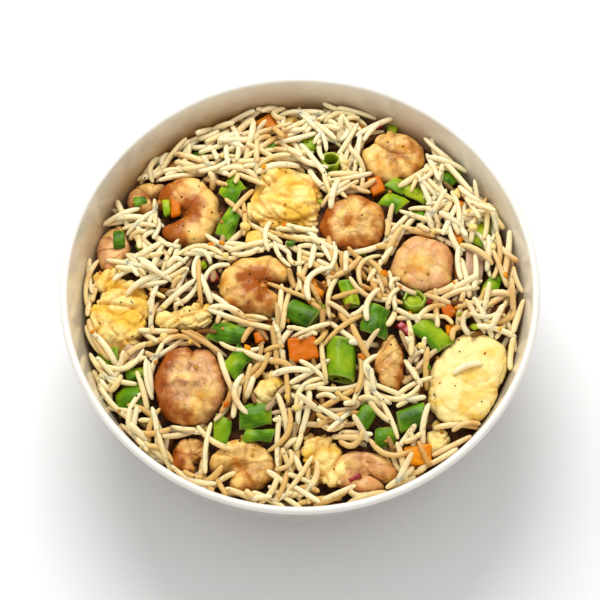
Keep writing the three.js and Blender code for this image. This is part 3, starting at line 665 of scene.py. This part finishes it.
def tubeShape(tube, seed):
    ring = tube["kind"] == "ring"
    length, width = tube["size"][::-1] if ring else tube["size"]
    wall, around, steps = 1.1, 40, 14
    outer = width / 2 * math.cos(math.pi / 8) ** 0.5
    inner = outer - wall
    line = np.linspace(-length / 2, length / 2, steps)
    soft = 0.3
    along = np.concatenate([line, [length / 2 + 0.12], line[::-1], [-length / 2 - 0.12]])
    out = np.concatenate([np.full(steps, outer), [outer - wall / 2], np.full(steps, inner),
                          [outer - wall / 2]])
    for k in (0, steps - 1):
        out[k] -= soft
        out[steps + 1 + k] += soft
    a, s = (v.ravel() for v in np.meshgrid(circle(around), np.arange(len(along)), indexing="xy"))
    random = np.random.default_rng(seed)
    facet = 1 + 0.035 * np.cos(6 * a + random.uniform(0, 6)) + 0.02 * np.sin(3 * a + along[s] * 0.4)
    radius = out[s] * facet
    if ring:
        points = tipped(np.stack([radius * np.cos(a), radius * np.sin(a) * 0.92, along[s]], 1), -0.16)
    else:
        points = np.stack([along[s], radius * np.sin(a), -radius * np.cos(a) * 0.72], 1)
        points[:, 0] += 0.18 * points[:, 1]
    points = layOnHeap(points, tube["at"], tube["turn"], tube["rise"])
    faces = facingOut(points, sheetFaces(len(along), around, True, True))
    lining = ((s > steps) & (s <= 2 * steps)).astype(float)
    edge = ((s == steps) | (s == len(along) - 1)).astype(float)
    edge[(s == 0) | (s == steps - 1) | (s == steps + 1) | (s == 2 * steps)] = 0.6
    return points, faces, {"edge": edge, "across": np.cos(a), "inside": lining, "shade": tube["shade"],
                           "seed": float(seed)}


# The tight inner leaves that fill a ring, pale where they meet its wall.
def ringFilling(ring):
    points, faces = ballShape(4)
    rim = np.clip(np.hypot(points[:, 0], points[:, 1]) * 4 - 2.6, 0, 1)
    width = ring["size"][0] - 2.2
    points = np.sign(points) * np.abs(points) ** [1, 1, 0.45]
    points = points * [width / 2, width / 2 * 0.92, 2.4]
    points = layOnHeap(points, ring["at"], 0, ring["rise"] - 1.5)
    return points, faces, {"edge": rim, "across": 0.0, "inside": 0.4, "shade": 0.7, "seed": 1.0}


def scallionShape(scallion, seed):
    if scallion["kind"] == "leaf":
        return leafShape(scallion, seed)
    shape = tubeShape(scallion, seed)
    filled = scallion["kind"] == "ring" and scallion["size"][0] > 8
    return joinShapes([shape, ringFilling(scallion)]) if filled else shape


# Spring onion: fresh waxy green with veins along it, paler on the inside and at its cut edges.
def scallionSkin():
    material, tree = newMaterial("spring_onion_leaf")
    across, shade, seed, inside, edge = carried(tree, "across shade seed inside edge")
    lighter = add(tree, "Math", {0: across, 1: 0.16, 2: shade}, operation="MULTIPLY_ADD").outputs[0]
    lighter = add(tree, "Math", {0: speckle(tree, 9, 2, (0.35, 0.65)), 1: 0.45, 2: lighter},
                  operation="MULTIPLY_ADD").outputs[0]
    green = add(tree, "ValToRGB", {"Fac": lighter}, stops=[
        (0.05, scallionLook["dark"]), (0.45, scallionLook["green"]), (0.95, scallionLook["lime"]),
    ]).outputs["Color"]
    phase = add(tree, "Math", {0: across, 1: 17.0, 2: seed}, operation="MULTIPLY_ADD").outputs[0]
    vein = add(tree, "Math", {0: phase}, operation="SINE").outputs[0]
    faint = add(tree, "Math", {0: vein, 1: 0.05, 2: 0.05}, operation="MULTIPLY_ADD").outputs[0]
    base = lay(
        tree, green,
        (faint, scallionLook["lime"]),
        (speckle(tree, 5, 3, (0.5, 0.8)), scallionLook["patch"]),
        (together(tree, inside, 0.55), scallionLook["lime"]),
        (together(tree, edge, 0.6), scallionLook["pale"]))
    ridges = add(tree, "Bump", {"Height": vein, "Strength": 0.12, "Distance": 0.12 * millimetre,
                                "Normal": bumps(tree, 2.5, 0.12, 3)}).outputs["Normal"]
    finishFood(tree, base, ridges, roughness=0.4, ior=1.4, gloss=0.15, film=(0.2, 0.1), flesh=(0.1, 1.0))
    return material


carrotLook = {"deep": "#c66006", "bright": "#f0a20a", "faded": "#cc8a30", "streak": "#c86608",
              "spot": "#96480a"}
onionLook = {"pale": "#e6cfae", "line": "#c89a80"}
carrots = table("at size turn rise shade", [
    ((1, -20.5), (10, 8.5, 6.5), 8, 1.4, 0.12),
    ((40, -57.5), (9, 7, 5), 5, 2.2, 0.5),
    ((5, 3.2), (8.5, 5, 5), -30, 0.4, 0.6),
    ((-12, 70), (6.5, 6, 4.5), 30, 1.4, 0.3),
])
onions = table("at size turn rise", [
    ((61, 12), (15, 7), 82, 1.2),
    ((-57.5, -19.5), (8, 5.5), -20, 1.2),
])


def blockShape(size, seed, level=11, bevel=0.8):
    random = np.random.default_rng(seed)
    block = bmesh.new()
    bmesh.ops.create_cube(block, size=2)
    bmesh.ops.subdivide_edges(block, edges=block.edges[:], cuts=level, use_grid_fill=True)
    bmesh.ops.triangulate(block, faces=block.faces[:])
    p, faces = pointsAndFaces(block)
    half = np.array(size) / 2
    bevel = min(bevel, half.min() * 0.6)
    kept = np.clip(p * half, bevel - half, half - bevel)
    points = kept + unit(p * half - kept) * bevel
    lean = random.uniform(-0.12, 0.12, 4)
    x, y, z = points.T
    points = np.stack([x * (1 + lean[0] * y / half[1]), y * (1 + lean[1] * x / half[0]),
                       z * (1 + 0.5 * lean[2] * x / half[0] + 0.5 * lean[3] * y / half[1])], 1)
    points = points + outward(points, faces) * (0.12 * waves(points, 3, seed))[:, None]
    return points, faces


def carrotShape(carrot, seed):
    points, faces = blockShape(carrot["size"], seed)
    points = layOnHeap(points, carrot["at"], carrot["turn"], carrot["rise"])
    return points, faces, {"shade": carrot["shade"]}


def onionShape(onion, seed):
    length, width = onion["size"]
    radius = length * 0.7

    def rule(u, v):
        angle = math.pi / 2 + u * length / radius / 2
        flat = np.stack([radius * np.cos(angle), radius * (np.sin(angle) - 1), v * width / 2], 1)
        sheet = tipped(flat, math.pi / 2 + 0.35)
        sheet[:, 2] += 0.2 * np.sin(5 * u + seed)
        return sheet

    points, faces, values = slabShape(rule, 1.4)
    points = layOnHeap(points, onion["at"], onion["turn"], onion["rise"])
    return points, facingOut(points, faces), values


# Cooked carrot: bright orange, deeper in streaks, browned in small spots where the pan caught it.
def carrotFlesh():
    material, tree = newMaterial("cooked_carrot")
    orange = add(tree, "ValToRGB", {"Fac": carried(tree, "shade")[0]}, stops=[
        (0.0, carrotLook["deep"]), (0.5, carrotLook["bright"]), (1.0, carrotLook["faded"]),
    ]).outputs["Color"]
    base = lay(
        tree, orange,
        (together(tree, speckle(tree, 3, 4, (0.4, 0.7)), 0.7), carrotLook["streak"]),
        (speckle(tree, 2, 3, (0.66, 0.76)), carrotLook["spot"]))
    finishFood(tree, base, bumps(tree, 1.0, 0.2, 3), roughness=0.4, ior=1.36, gloss=0.15,
               film=(0.15, 0.15), flesh=(0.2, 1.5))
    return material


# Onion softened in the pan: half clear, pinkish white, with fine lines along the layer.
def onionFlesh():
    material, tree = newMaterial("softened_onion")
    base = lay(tree, colour(onionLook["pale"]), (speckle(tree, 3, 3, stretch=[1, 4, 1]), onionLook["line"]))
    finishFood(tree, base, bumps(tree, 1.2, 0.15, 3), roughness=0.3, ior=1.38, gloss=0.25,
               film=(0.2, 0.1), flesh=(0.4, 2.5), clear=0.15)
    return material


# Small pieces among the rice: kind, place, size in millimetres and turn in degrees.
bits = [
    ("carrot", (55, 22.5), (5, 4.5, 3), 60),
    ("carrot", (55.5, 37), (5.5, 2.6, 2.4), -20),
    ("carrot", (-13.5, -15.5), (4.5, 4, 3), 20),
    ("carrot", (69.5, -5), (3.4, 5, 3), 0),
    ("carrot", (51.5, -5.5), (4.5, 4.5, 3), 30),
    ("carrot", (52, -12.5), (3.4, 4, 2.6), 0),
    ("carrot", (-5.5, 61), (5, 3, 3), 5),
    ("carrot", (27, 43.5), (5, 6.5, 3), 20),
    ("scallion", (3.5, 61), (5, 6, 3), 20),
    ("scallion", (-37, 57), (7, 5, 2.4), 15),
    ("scallion", (-55, 21.5), (5, 4, 2.4), 30),
    ("scallion", (33, 66.8), (3.6, 5, 3), -10),
    ("scallion", (40.5, 31.5), (7, 3.6, 2.4), 5),
    ("scallion", (-10.5, 60.5), (6, 3.4, 2.4), 10),
    ("scallion", (-56, -26.5), (8, 4.5, 2.4), 10),
    ("scallion", (-7, -65), (3.6, 4.4, 2.4), 0),
    ("chilli", (36, -12.2), (5.5, 3, 2.2), -40),
    ("chilli", (-30, 7), (3.4, 2.6, 2), 20),
    ("chilli", (27.5, 69), (4.2, 2.6, 2), 10),
    ("chilli", (44.5, -2), (2.6, 2, 1.6), 0),
    ("chilli", (-1, -61.6), (3, 2, 1.6), 0),
    ("scallion", (69.5, 8.5), (5, 3.5, 2.4), 60),
    ("egg", (-3.5, 71), (6, 4.5, 4), 30),
    ("egg", (-16, 22.4), (6, 5, 4), 0),
    ("garlic", (-46.3, 53.2), (6.5, 3.6, 3), 40),
    ("garlic", (20, 70), (6.5, 4, 3), -20),
]
# And on the prawns: the prawn's number, then kind, place from its middle, size and turn.
prawnBits = [
    (1, "carrot", (-5, 1), (3.4, 7, 2.4), 4),
    (1, "scallion", (-8.2, 1), (2.6, 6, 2), 8),
    (9, "chilli", (-3, -3), (4.5, 1.8, 1.2), 30),
    (10, "scallion", (2, 2.4), (4, 7, 3), 5),
    (11, "scallion", (-2, -2), (4.6, 4, 2), 15),
]


def bitShape(kind, size, seed):
    points, faces = blockShape(size, seed, level=6, bevel=0.7 if kind == "carrot" else 0.5)
    shade = np.random.default_rng(seed).uniform(0.05, 0.5)
    if kind == "scallion":
        points[:, 2] += 0.12 * size[1] * (1 - (2 * points[:, 1] / size[1]) ** 2)
        return points, faces, {"edge": 0.0, "across": 2 * points[:, 1] / size[1], "inside": 0.0,
                               "shade": shade, "seed": float(seed)}
    return points, faces, {"shade": shade, "crease": 0.2, "milky": 0.0}


# Lengths in millimetres. usual is the mean and the spread of a grain's length, and bow the spread of its
# bend. broken, curly and raised are shares of the grains, with brokenLength, curl and lift for their sizes,
# and spikes stand up out of the heap, at a lean in degrees. press is how deep a grain sinks in, above how
# far it may stand over the heap, and loose how far it turns from the lay of its neighbours. middles and
# ends are the radii they stay within, and wall is where the inner wall would be at the height of the rim.
rice = {
    "grains": 2600,
    "tries": 12000,
    "pieces": 4,
    "length": (10, 19),
    "usual": (15, 2.4),
    "thickness": (1.8, 2.3),
    "bow": 1.1,
    "seed": 5,
    "broken": 0.1,
    "brokenLength": (5, 10),
    "curly": 0.16,
    "curl": (2.2, 4.6),
    "raised": 0.2,
    "lift": (0.5, 3.5),
    "spikes": 320,
    "spikeLength": (8, 15),
    "spikeLean": (10, 42),
    "press": 1.35,
    "above": 1.3,
    "steepest": 0.6,
    "loose": 0.75,
    "middles": 77.5,
    "ends": 78.6,
    "wall": 79.6,
    "light": "#f8e7c0",
    "cream": "#f2dba6",
    "warm": "#dcb874",
    # A brown for stains, which is also multiplied in as painted shade on grains deeper in the heap.
    "stainAndShade": "#80581c",
    # The core's colours: dark browns that paint the shade between the grains.
    "paintedCoreShade": ("#2c1404", "#744812"),
}

cell = 0.4
reach = 84
cells = int(2 * reach / cell) + 1
axis = np.linspace(-reach, reach, cells)
gridX, gridY = np.meshgrid(axis, axis, indexing="ij")


def cellAt(x, y):
    i = np.clip(np.rint((x + reach) / cell).astype(int), 0, cells - 1)
    j = np.clip(np.rint((y + reach) / cell).astype(int), 0, cells - 1)
    return i, j


# The tops of the toppings from above, as heights on a grid.
def topsOf(shapes):
    tops = np.full((cells, cells), -100.0)
    for points, faces, _ in shapes:
        centres = points[faces].mean(1)
        for cloud in (points, centres):
            np.maximum.at(tops, cellAt(cloud[:, 0], cloud[:, 1]), cloud[:, 2])
    grown = tops.copy()
    for dx in (-1, 0, 1):
        for dy in (-1, 0, 1):
            grown = np.maximum(grown, np.roll(tops, (dx, dy), (0, 1)))
    return grown


stations = np.linspace(-1, 1, 25)  # places along a grain
tracks = np.array([-0.95, -0.65, -0.33, 0, 0.33, 0.65, 0.95])  # and across it


# Half a grain's thickness along it: full in the middle, drawn in to its ends.
def grainProfile(s, point):
    taper = 1 - (0.08 + 0.14 * point) * s ** 2 - 0.07 * point * s
    return np.maximum(0, 1 - np.abs(s) ** 11) ** 0.5 * taper


# Lays one grain on what is below it. It bends along its length to follow it, and presses in a little.
def restGrain(ground, x, y, turn, length, bow, half):
    u, v = stations * length / 2, bow * (1 / 3 - stations ** 2)
    c, s = math.cos(turn), math.sin(turn)
    cx, cy = x + u * c - v * s, y + u * s + v * c
    slope = np.arctan2(np.gradient(cy), np.gradient(cx))
    nx, ny = -np.sin(slope), np.cos(slope)
    px = cx[:, None] + tracks * half[:, None] * nx[:, None]
    py = cy[:, None] + tracks * half[:, None] * ny[:, None]
    lift = half[:, None] * np.sqrt(1 - tracks ** 2)
    place = cellAt(px, py)
    support = (ground[place] + 0.75 * lift).max(1)
    fit = np.polyfit(stations, support, 2)
    z = np.polyval([np.clip(fit[0], -1.2, 1.2), fit[1], fit[2] + fit[0] / 4], stations)
    z = z + max(0, (support - z).max() - rice["press"])
    steep = abs(z[-1] - z[0]) / length
    return np.stack([cx, cy, z], 1), place, lift, steep


# Grains that are placed one by one: x, y, turn in degrees, length and bow.
placedGrains = [
    (4.5, 4.5, 60, 15, 4.5), (-21, -36.5, 96, 15, 4.0), (57, -27, 20, 11, 1.0), (24, -4, 70, 13, 2.4),
    (-3, -28.5, 5, 14, 1.2), (-8, 50, 12, 16, 1.5), (12, 39.5, 75, 13, 1.0), (-55, 6, 30, 14, 1.2),
]


def pileRice(tops, chunks):
    random = np.random.default_rng(rice["seed"])
    surface = heapHeight(gridX, gridY)
    radius = np.hypot(gridX, gridY)
    ramp = bowl["height"] - (rice["wall"] - radius) / bowl["lean"]
    pile = np.maximum(surface - heap["lookDepth"], ramp)
    covered = np.where(chunks > pile, 1, 0.6 * (tops > pile))
    back = np.clip(gridY / 70, 0, 1) + np.clip(-gridX / 90, 0, 1)
    brim = 3.0 * back * np.clip((radius - 55) / 15, 0, 1)
    flat = np.stack([gridX.ravel(), gridY.ravel(), np.zeros(gridX.size)], 1)
    # Grains near each other lie much the same way, as they do where a spoon has turned them.
    combed = (math.pi * waves(flat, 45, 8, 5)).reshape(cells, cells)
    grains = []

    def keep(centre, place, lift, half, tint, point):
        np.maximum.at(pile, place, centre[:, 2:3] + lift)
        x, y, z = centre[12]
        deep = surface[cellAt(x, y)] - z - 1.3 * max(0, y / 75)  # less painted shade at the back of the heap, as painted light from the lamp behind
        grains.append((centre, half, float(deep), tint, point))

    tries = 0
    while len(grains) < rice["grains"] and tries < rice["tries"]:
        tries += 1
        length = float(np.clip(random.normal(*rice["usual"]), *rice["length"]))
        if random.uniform() < rice["broken"]:
            length = random.uniform(*rice["brokenLength"])
        bow = random.normal(0, rice["bow"])
        if random.uniform() < rice["curly"]:
            bow = random.choice([-1, 1]) * random.uniform(*rice["curl"])
        point = random.uniform(0, 1)
        half = np.maximum(random.uniform(*rice["thickness"]) / 2 * grainProfile(stations, point), 0.12)
        over = 0.5 if random.uniform() < 0.06 else 0.2
        raised = random.uniform(*rice["lift"]) if random.uniform() < rice["raised"] else 0
        # Of a few places and directions, the one with most room under it is tried.
        r, a = rice["middles"] * np.sqrt(random.uniform(size=8)), random.uniform(0, 2 * math.pi, 8)
        x, y = r * np.cos(a), r * np.sin(a)
        turn = combed[cellAt(x, y)] + random.normal(0, rice["loose"], 8)
        u = np.linspace(-0.5, 0.5, 7)[:, None] * length
        px, py = x + u * np.cos(turn), y + u * np.sin(turn)
        place = cellAt(px, py)
        room = (surface[place] + brim[place] - pile[place]).mean(0)
        under = covered[place].mean(0)
        room[(under > over) | (np.hypot(px, py).max(0) > rice["ends"])] = -100
        best = int(np.argmax(room))
        if room[best] < 0:
            continue
        ground = np.maximum(pile, tops) if under[best] > 0.05 else pile
        centre, place, lift, steep = restGrain(ground, x[best], y[best], turn[best], length, bow, half)
        centre[:, 2] += raised * (1 + stations) / 2
        level = centre[:, 2] + half - heapHeight(centre[:, 0], centre[:, 1])
        above = rice["above"] + 2.5 * np.clip((np.hypot(*centre[12, :2]) - 50) / 20, 0, 1)
        if steep < rice["steepest"] and level.mean() < above and level.max() < above + 1.8:
            # Painted light: grains are painted lighter towards the back of the heap, where the lamp behind
            # falls, and darker near its middle.
            lighter = 0.25 * centre[12, 1] / 75 - 0.4 * math.exp(-(math.hypot(*centre[12, :2]) / 32) ** 2)
            keep(centre, place, lift, half, float(np.clip(random.uniform() + lighter, 0, 1)), point)
    loose = len(grains)
    for x, y, turn, length, bow in placedGrains:
        half = np.maximum(1.15 * grainProfile(stations, 0.5), 0.12)
        ground = np.maximum(pile, tops)
        centre, place, lift, _ = restGrain(ground, x, y, math.radians(turn), length, bow, half)
        keep(centre, place, lift, half, 0.9, 0.5)
    for _ in range(rice["spikes"]):
        r, a, turn = 76 * random.uniform() ** 0.3, *random.uniform(0, 2 * math.pi, 2)
        x, y, length = r * math.cos(a), r * math.sin(a), random.uniform(*rice["spikeLength"])
        lean = math.radians(random.uniform(*rice["spikeLean"]))
        u = (stations + 0.8) * length / 2
        cx, cy = x + u * math.cos(turn) * math.cos(lean), y + u * math.sin(turn) * math.cos(lean)
        z = pile[cellAt(np.array(x), np.array(y))] - 1 + u * math.sin(lean) + 0.3 * (1 - stations ** 2)
        centre = np.stack([cx, cy, z], 1)
        inBowl = np.hypot(cx, cy).max() < 77 and covered[cellAt(cx, cy)].mean() < 0.3
        if inBowl and (z - heapHeight(cx, cy)).max() < 8:
            half = random.uniform(*rice["thickness"]) / 2 * np.ones(len(stations))
            grains.append((centre, half, 0.0, random.uniform(0.5, 1), random.uniform()))
    note(f"{loose} grains dropped in {tries} tries, {len(grains) - loose} placed")
    return grains, pile


def grainMesh(grains, seed):
    random = np.random.default_rng(seed)
    rings, around = 13, 10
    shapes = []
    pick = eased(rings) * (len(stations) - 1)
    faces, angle = ringFaces(rings, around), circle(around)
    for centre, half, deep, tint, point in grains:
        line = np.stack([np.interp(pick, np.arange(len(stations)), centre[:, k]) for k in range(3)], 1)
        size = half.max() * grainProfile(pick / 12 - 1, point)
        along = unit(np.gradient(line, axis=0))
        side = unit(np.cross(along, [0, 0, 1]))
        up = np.cross(side, along)
        wobble = 1 + 0.05 * np.sin(np.linspace(0, random.uniform(4, 9), rings) + random.uniform(0, 6))
        flute = 1 + 0.04 * np.cos(2 * angle + random.uniform(0, 6)) + 0.02 * np.cos(5 * angle)
        spread = (size * wobble)[:, None] * flute
        points = (line[:, None] + side[:, None] * (spread * np.cos(angle))[..., None]
                  + up[:, None] * (spread * np.sin(angle) * 0.94)[..., None]).reshape(-1, 3)
        points = np.concatenate([points, centre[[0, -1]]])
        shapes.append((points, faces, {"deep": deep, "tint": tint}))
    points, faces, values = joinShapes(shapes)
    return points, facingOut(points, faces), values


# Fried rice grain: cream, half clear at its ends, with a thin coat of oil and brown stains from the pan.
# Grains deeper in the heap are painted darker brown as painted shade.
def grainSkin():
    material, tree = newMaterial("fried_rice_grain")
    tint, deep = carried(tree, "tint deep")
    cream = add(tree, "ValToRGB", {"Fac": tint}, stops=[
        (0.0, rice["warm"]), (0.15, rice["cream"]), (0.8, rice["light"]),
    ]).outputs["Color"]
    # Painted shade: grains that lie deeper in the heap are multiplied darker brown.
    paintedDepthShade = add(tree, "MapRange", {"Value": deep, "From Min": 0.0, "From Max": 2.6},
               interpolation_type="SMOOTHSTEP").outputs["Result"]
    base = lay(
        tree, cream,
        (speckle(tree, 20, 3, (0.5, 0.78)), rice["warm"], "MULTIPLY"),
        (paintedDepthShade, rice["stainAndShade"], "MULTIPLY"),
        (together(tree, speckle(tree, 3, 4, (0.60, 0.75)), 0.6), rice["stainAndShade"]))
    finishFood(tree, base, bumps(tree, 0.9, 0.06, 2), roughness=0.4, ior=1.38, gloss=0.25,
               film=(0.2, 0.12), flesh=(0.6, 1.6))
    return material


# What shows between the grains: rice deep in the heap. Its edge stays inside the wall of the bowl.
def coreShape():
    rings, around = 60, 128
    r, a = np.meshgrid(np.linspace(0.3, 78, rings), circle(around), indexing="ij")
    x, y = (r * np.cos(a)).ravel(), (r * np.sin(a)).ravel()
    inside = wallLine(bowl["wall"] - 1.2)[::-1]
    top = np.stack([x, y, heapHeight(x, y) - heap["lookDepth"]], 1)
    top[:, :2] *= np.minimum(1, np.interp(top[:, 2], inside[:, 1], inside[:, 0]) / np.hypot(x, y))[:, None]
    top[:, 2] += 0.7 * waves(top * [1, 1, 0], 3, 3)
    lower = wallLine(bowl["wall"] + 0.4)[12::3]
    lower = lower[lower[:, 1] < 38]
    ends = [[0, 0, heap["crown"] - heap["lookDepth"]], [0, 0, lower[-1, 1]]]
    points = np.concatenate([top, spun(lower, around), ends])
    return points, facingOut(points, ringFaces(rings + len(lower), around)), {}


# Rice deep in the heap, painted dark brown and uneven as painted shade, because light hardly gets down to
# it.
def paintedShadeRice():
    material, tree = newMaterial("rice_core_painted_shade")
    dark, light = rice["paintedCoreShade"]
    base = lay(tree, colour(dark), (speckle(tree, 2.5, 3, (0.3, 0.7)), light))
    finishMaterial(tree, {"Base Color": base, "Roughness": 0.5, "IOR": 1.4,
                          "Normal": bumps(tree, 1.6, 0.8, 3)})
    return material


crumbLook = {
    "chilli": ("#b01c0a", "#6e0e08"),
    "garlic": ("#a8661c", "#dca446"),
    "pepper": ("#1c140c", "#3a2a18"),
}


# Chilli: deep glossy red.
def chilliSkin():
    material, tree = newMaterial("chilli_skin")
    red, deep = crumbLook["chilli"]
    base = lay(tree, colour(red), (speckle(tree, 2, 3), deep))
    finishMaterial(tree, {"Base Color": base, "Roughness": 0.28, "IOR": 1.45, "Coat Weight": 0.4,
                          "Coat Roughness": 0.1})
    return material


# Black pepper and fried garlic: small dull crumbs.
def crumb(name, dark, light):
    material, tree = newMaterial(name)
    base = lay(tree, colour(dark), (speckle(tree, 0.8, 2), light))
    finishMaterial(tree, {"Base Color": base, "Roughness": 0.6, "IOR": 1.45})
    return material


def crumbShapes(count, size, seed, ground):
    random = np.random.default_rng(seed)
    ball, faces = ballShape(2 if size[1] < 1.5 else 3)
    shapes = []
    for _ in range(count):
        r, a = 74 * math.sqrt(random.uniform()), random.uniform(0, 2 * math.pi)
        x, y = r * math.cos(a), r * math.sin(a)
        width = random.uniform(*size)
        lumps = 1 + 0.25 * waves(ball, 1.5, random.integers(1e6), 4)
        points = ball * lumps[:, None] * [width / 2, width / 2 * random.uniform(0.6, 1), width / 3]
        points = turned(points, random.uniform(0, 360))
        height = ground[cellAt(np.array(x), np.array(y))]
        values = {"shade": random.uniform(0, 1), "crease": 0.3, "across": 0.0, "edge": 0.0, "inside": 0.0,
                  "seed": 0.0}
        shapes.append((points + [x, y, float(height) - width * 0.05], faces, values))
    return joinShapes(shapes)


scene = bpy.context.scene
note("bowl")
showPiece("bowl_body", bowlShape(), porcelain(), ["bowl"])

note("toppings")
prawnMaterial, eggMaterial, scallionMaterial = prawnFlesh(), eggCurd(), scallionSkin()
carrotMaterial, onionMaterial, chilliMaterial = carrotFlesh(), onionFlesh(), chilliSkin()
garlicMaterial = crumb("fried_garlic", *crumbLook["garlic"])
materialOf = {
    "carrot": (carrotMaterial, "carrot"),
    "scallion": (scallionMaterial, "scallion"),
    "chilli": (chilliMaterial, "rice"),
    "egg": (eggMaterial, "egg"),
    "garlic": (garlicMaterial, "rice"),
}
toppings = []


def showTopping(name, shape, material):
    toppings.append(shape)
    showPiece(f"{name}_look", shape, material, [name])


for name, pieces, shapeOf, material, seed in (
    ("prawn", prawns, prawnShape, prawnMaterial, 100),
    ("egg", eggs, lambda egg, _: eggShape(egg), eggMaterial, 0),  # each egg has its own seed
    ("scallion", scallions, scallionShape, scallionMaterial, 200),
    ("carrot", carrots, carrotShape, carrotMaterial, 300),
    ("onion", onions, onionShape, onionMaterial, 400),
):
    for n, piece in enumerate(pieces, 1):
        showTopping(f"{name}_{n}", shapeOf(piece, seed + n), material)

note("small pieces")
small = {kind: [] for kind in materialOf}
for n, (kind, at, size, turn) in enumerate(bits):
    points, faces, values = bitShape(kind, size, 500 + n)
    small[kind].append((layOnHeap(points, at, turn, 0.4), faces, values))
for n, (number, kind, at, size, turn) in enumerate(prawnBits):
    prawn = prawns[number - 1]
    points, faces, values = bitShape(kind, size, 600 + n)
    where = (prawn["at"][0] + at[0], prawn["at"][1] + at[1])
    points = turned(points, turn) + [*where, 0]
    top = heapHeight(*prawn["at"]) + prawn["rise"] - prawn["thick"] * 0.12 + size[2] * 0.55
    points[:, 2] += top - points[:, 2].max()
    small[kind].append((points, faces, values))
for kind, shapes in small.items():
    material, slot = materialOf[kind]
    toppings.extend(shapes)
    showPiece(f"small_{kind}", joinShapes(shapes), material)

note("rice")
tops = topsOf(toppings)
grains, pile = pileRice(tops, topsOf(toppings[:len(prawns) + len(eggs)]))
grainMaterial = grainSkin()
showPiece("rice_core", coreShape(), paintedShadeRice(), ["rice"])
share = math.ceil(len(grains) / rice["pieces"])
for n in range(rice["pieces"]):
    part = grains[n * share:(n + 1) * share]
    showPiece(f"rice_grains_{n + 1}", grainMesh(part, 700 + n), grainMaterial)

note("crumbs")
ground = np.maximum(pile, tops)
pepperMaterial = crumb("black_pepper", *crumbLook["pepper"])
for name, count, size, seed, under, material, slot in (
    ("egg_crumbs", 70, (1.6, 4.0), 33, pile, eggMaterial, "egg"),
    ("carrot_crumbs", 34, (1.2, 3.0), 34, pile, carrotMaterial, "carrot"),
    ("scallion_crumbs", 34, (1.2, 3.2), 35, pile, scallionMaterial, "scallion"),
    ("pepper", 150, (0.35, 0.8), 31, ground, pepperMaterial, "rice"),
    ("garlic", 60, (0.9, 2.0), 32, ground, garlicMaterial, "rice"),
):
    showPiece(name, crumbShapes(count, size, seed, under), material)

note("stage")
stage = {
    "floor": "#faf9f8",
    "world": 0.74,
    "key": {"place": (-0.06, 0.38, 0.56), "size": 0.45, "power": 3.1},
    "fill": {"place": (0.3, -0.9, 0.8), "size": 1.0, "power": 0.3},
    "camera": {"aim": (0, -5.24, 61), "distance": 0.8, "elevation": 65.96, "lens": 140.2},
    "gamma": 0.88,
}


def addFloor():
    material, tree = newMaterial("paper_floor")
    finishMaterial(tree, {"Base Color": colour(stage["floor"]), "Roughness": 0.7})
    bpy.ops.mesh.primitive_plane_add(size=8)
    floor = bpy.context.object
    floor.name = "floor"
    floor.data.materials.append(material)


def addLight(name):
    light = bpy.data.lights.new(name, "AREA")
    light.shape = "DISK"
    light.size = stage[name]["size"]
    light.energy = stage[name]["power"]
    lamp = bpy.data.objects.new(name, light)
    lamp.location = stage[name]["place"]
    aim = Vector((0, 0, 0.04)) - lamp.location
    lamp.rotation_euler = aim.to_track_quat("-Z", "Y").to_euler()
    scene.collection.objects.link(lamp)


def addWorld():
    world = bpy.data.worlds.new("soft_room")
    world.use_nodes = True
    sky = world.node_tree.nodes["Background"]
    sky.inputs["Color"].default_value = colour("#ffffff")
    sky.inputs["Strength"].default_value = stage["world"]
    scene.world = world


def addCamera():
    view = stage["camera"]
    aim, elevation = Vector(view["aim"]) * millimetre, math.radians(view["elevation"])
    data = bpy.data.cameras.new("camera")
    data.lens = view["lens"]
    data.sensor_width = 36
    data.clip_start = 0.01
    camera = bpy.data.objects.new("camera", data)
    back = Vector((0, -math.cos(elevation), math.sin(elevation)))
    camera.location = aim + view["distance"] * back
    camera.rotation_euler = (-back).to_track_quat("-Z", "Y").to_euler()
    scene.collection.objects.link(camera)
    scene.camera = camera


addFloor()
addLight("key")
addLight("fill")
addWorld()
addCamera()
scene.view_settings.view_transform = "Standard"
scene.view_settings.gamma = stage["gamma"]
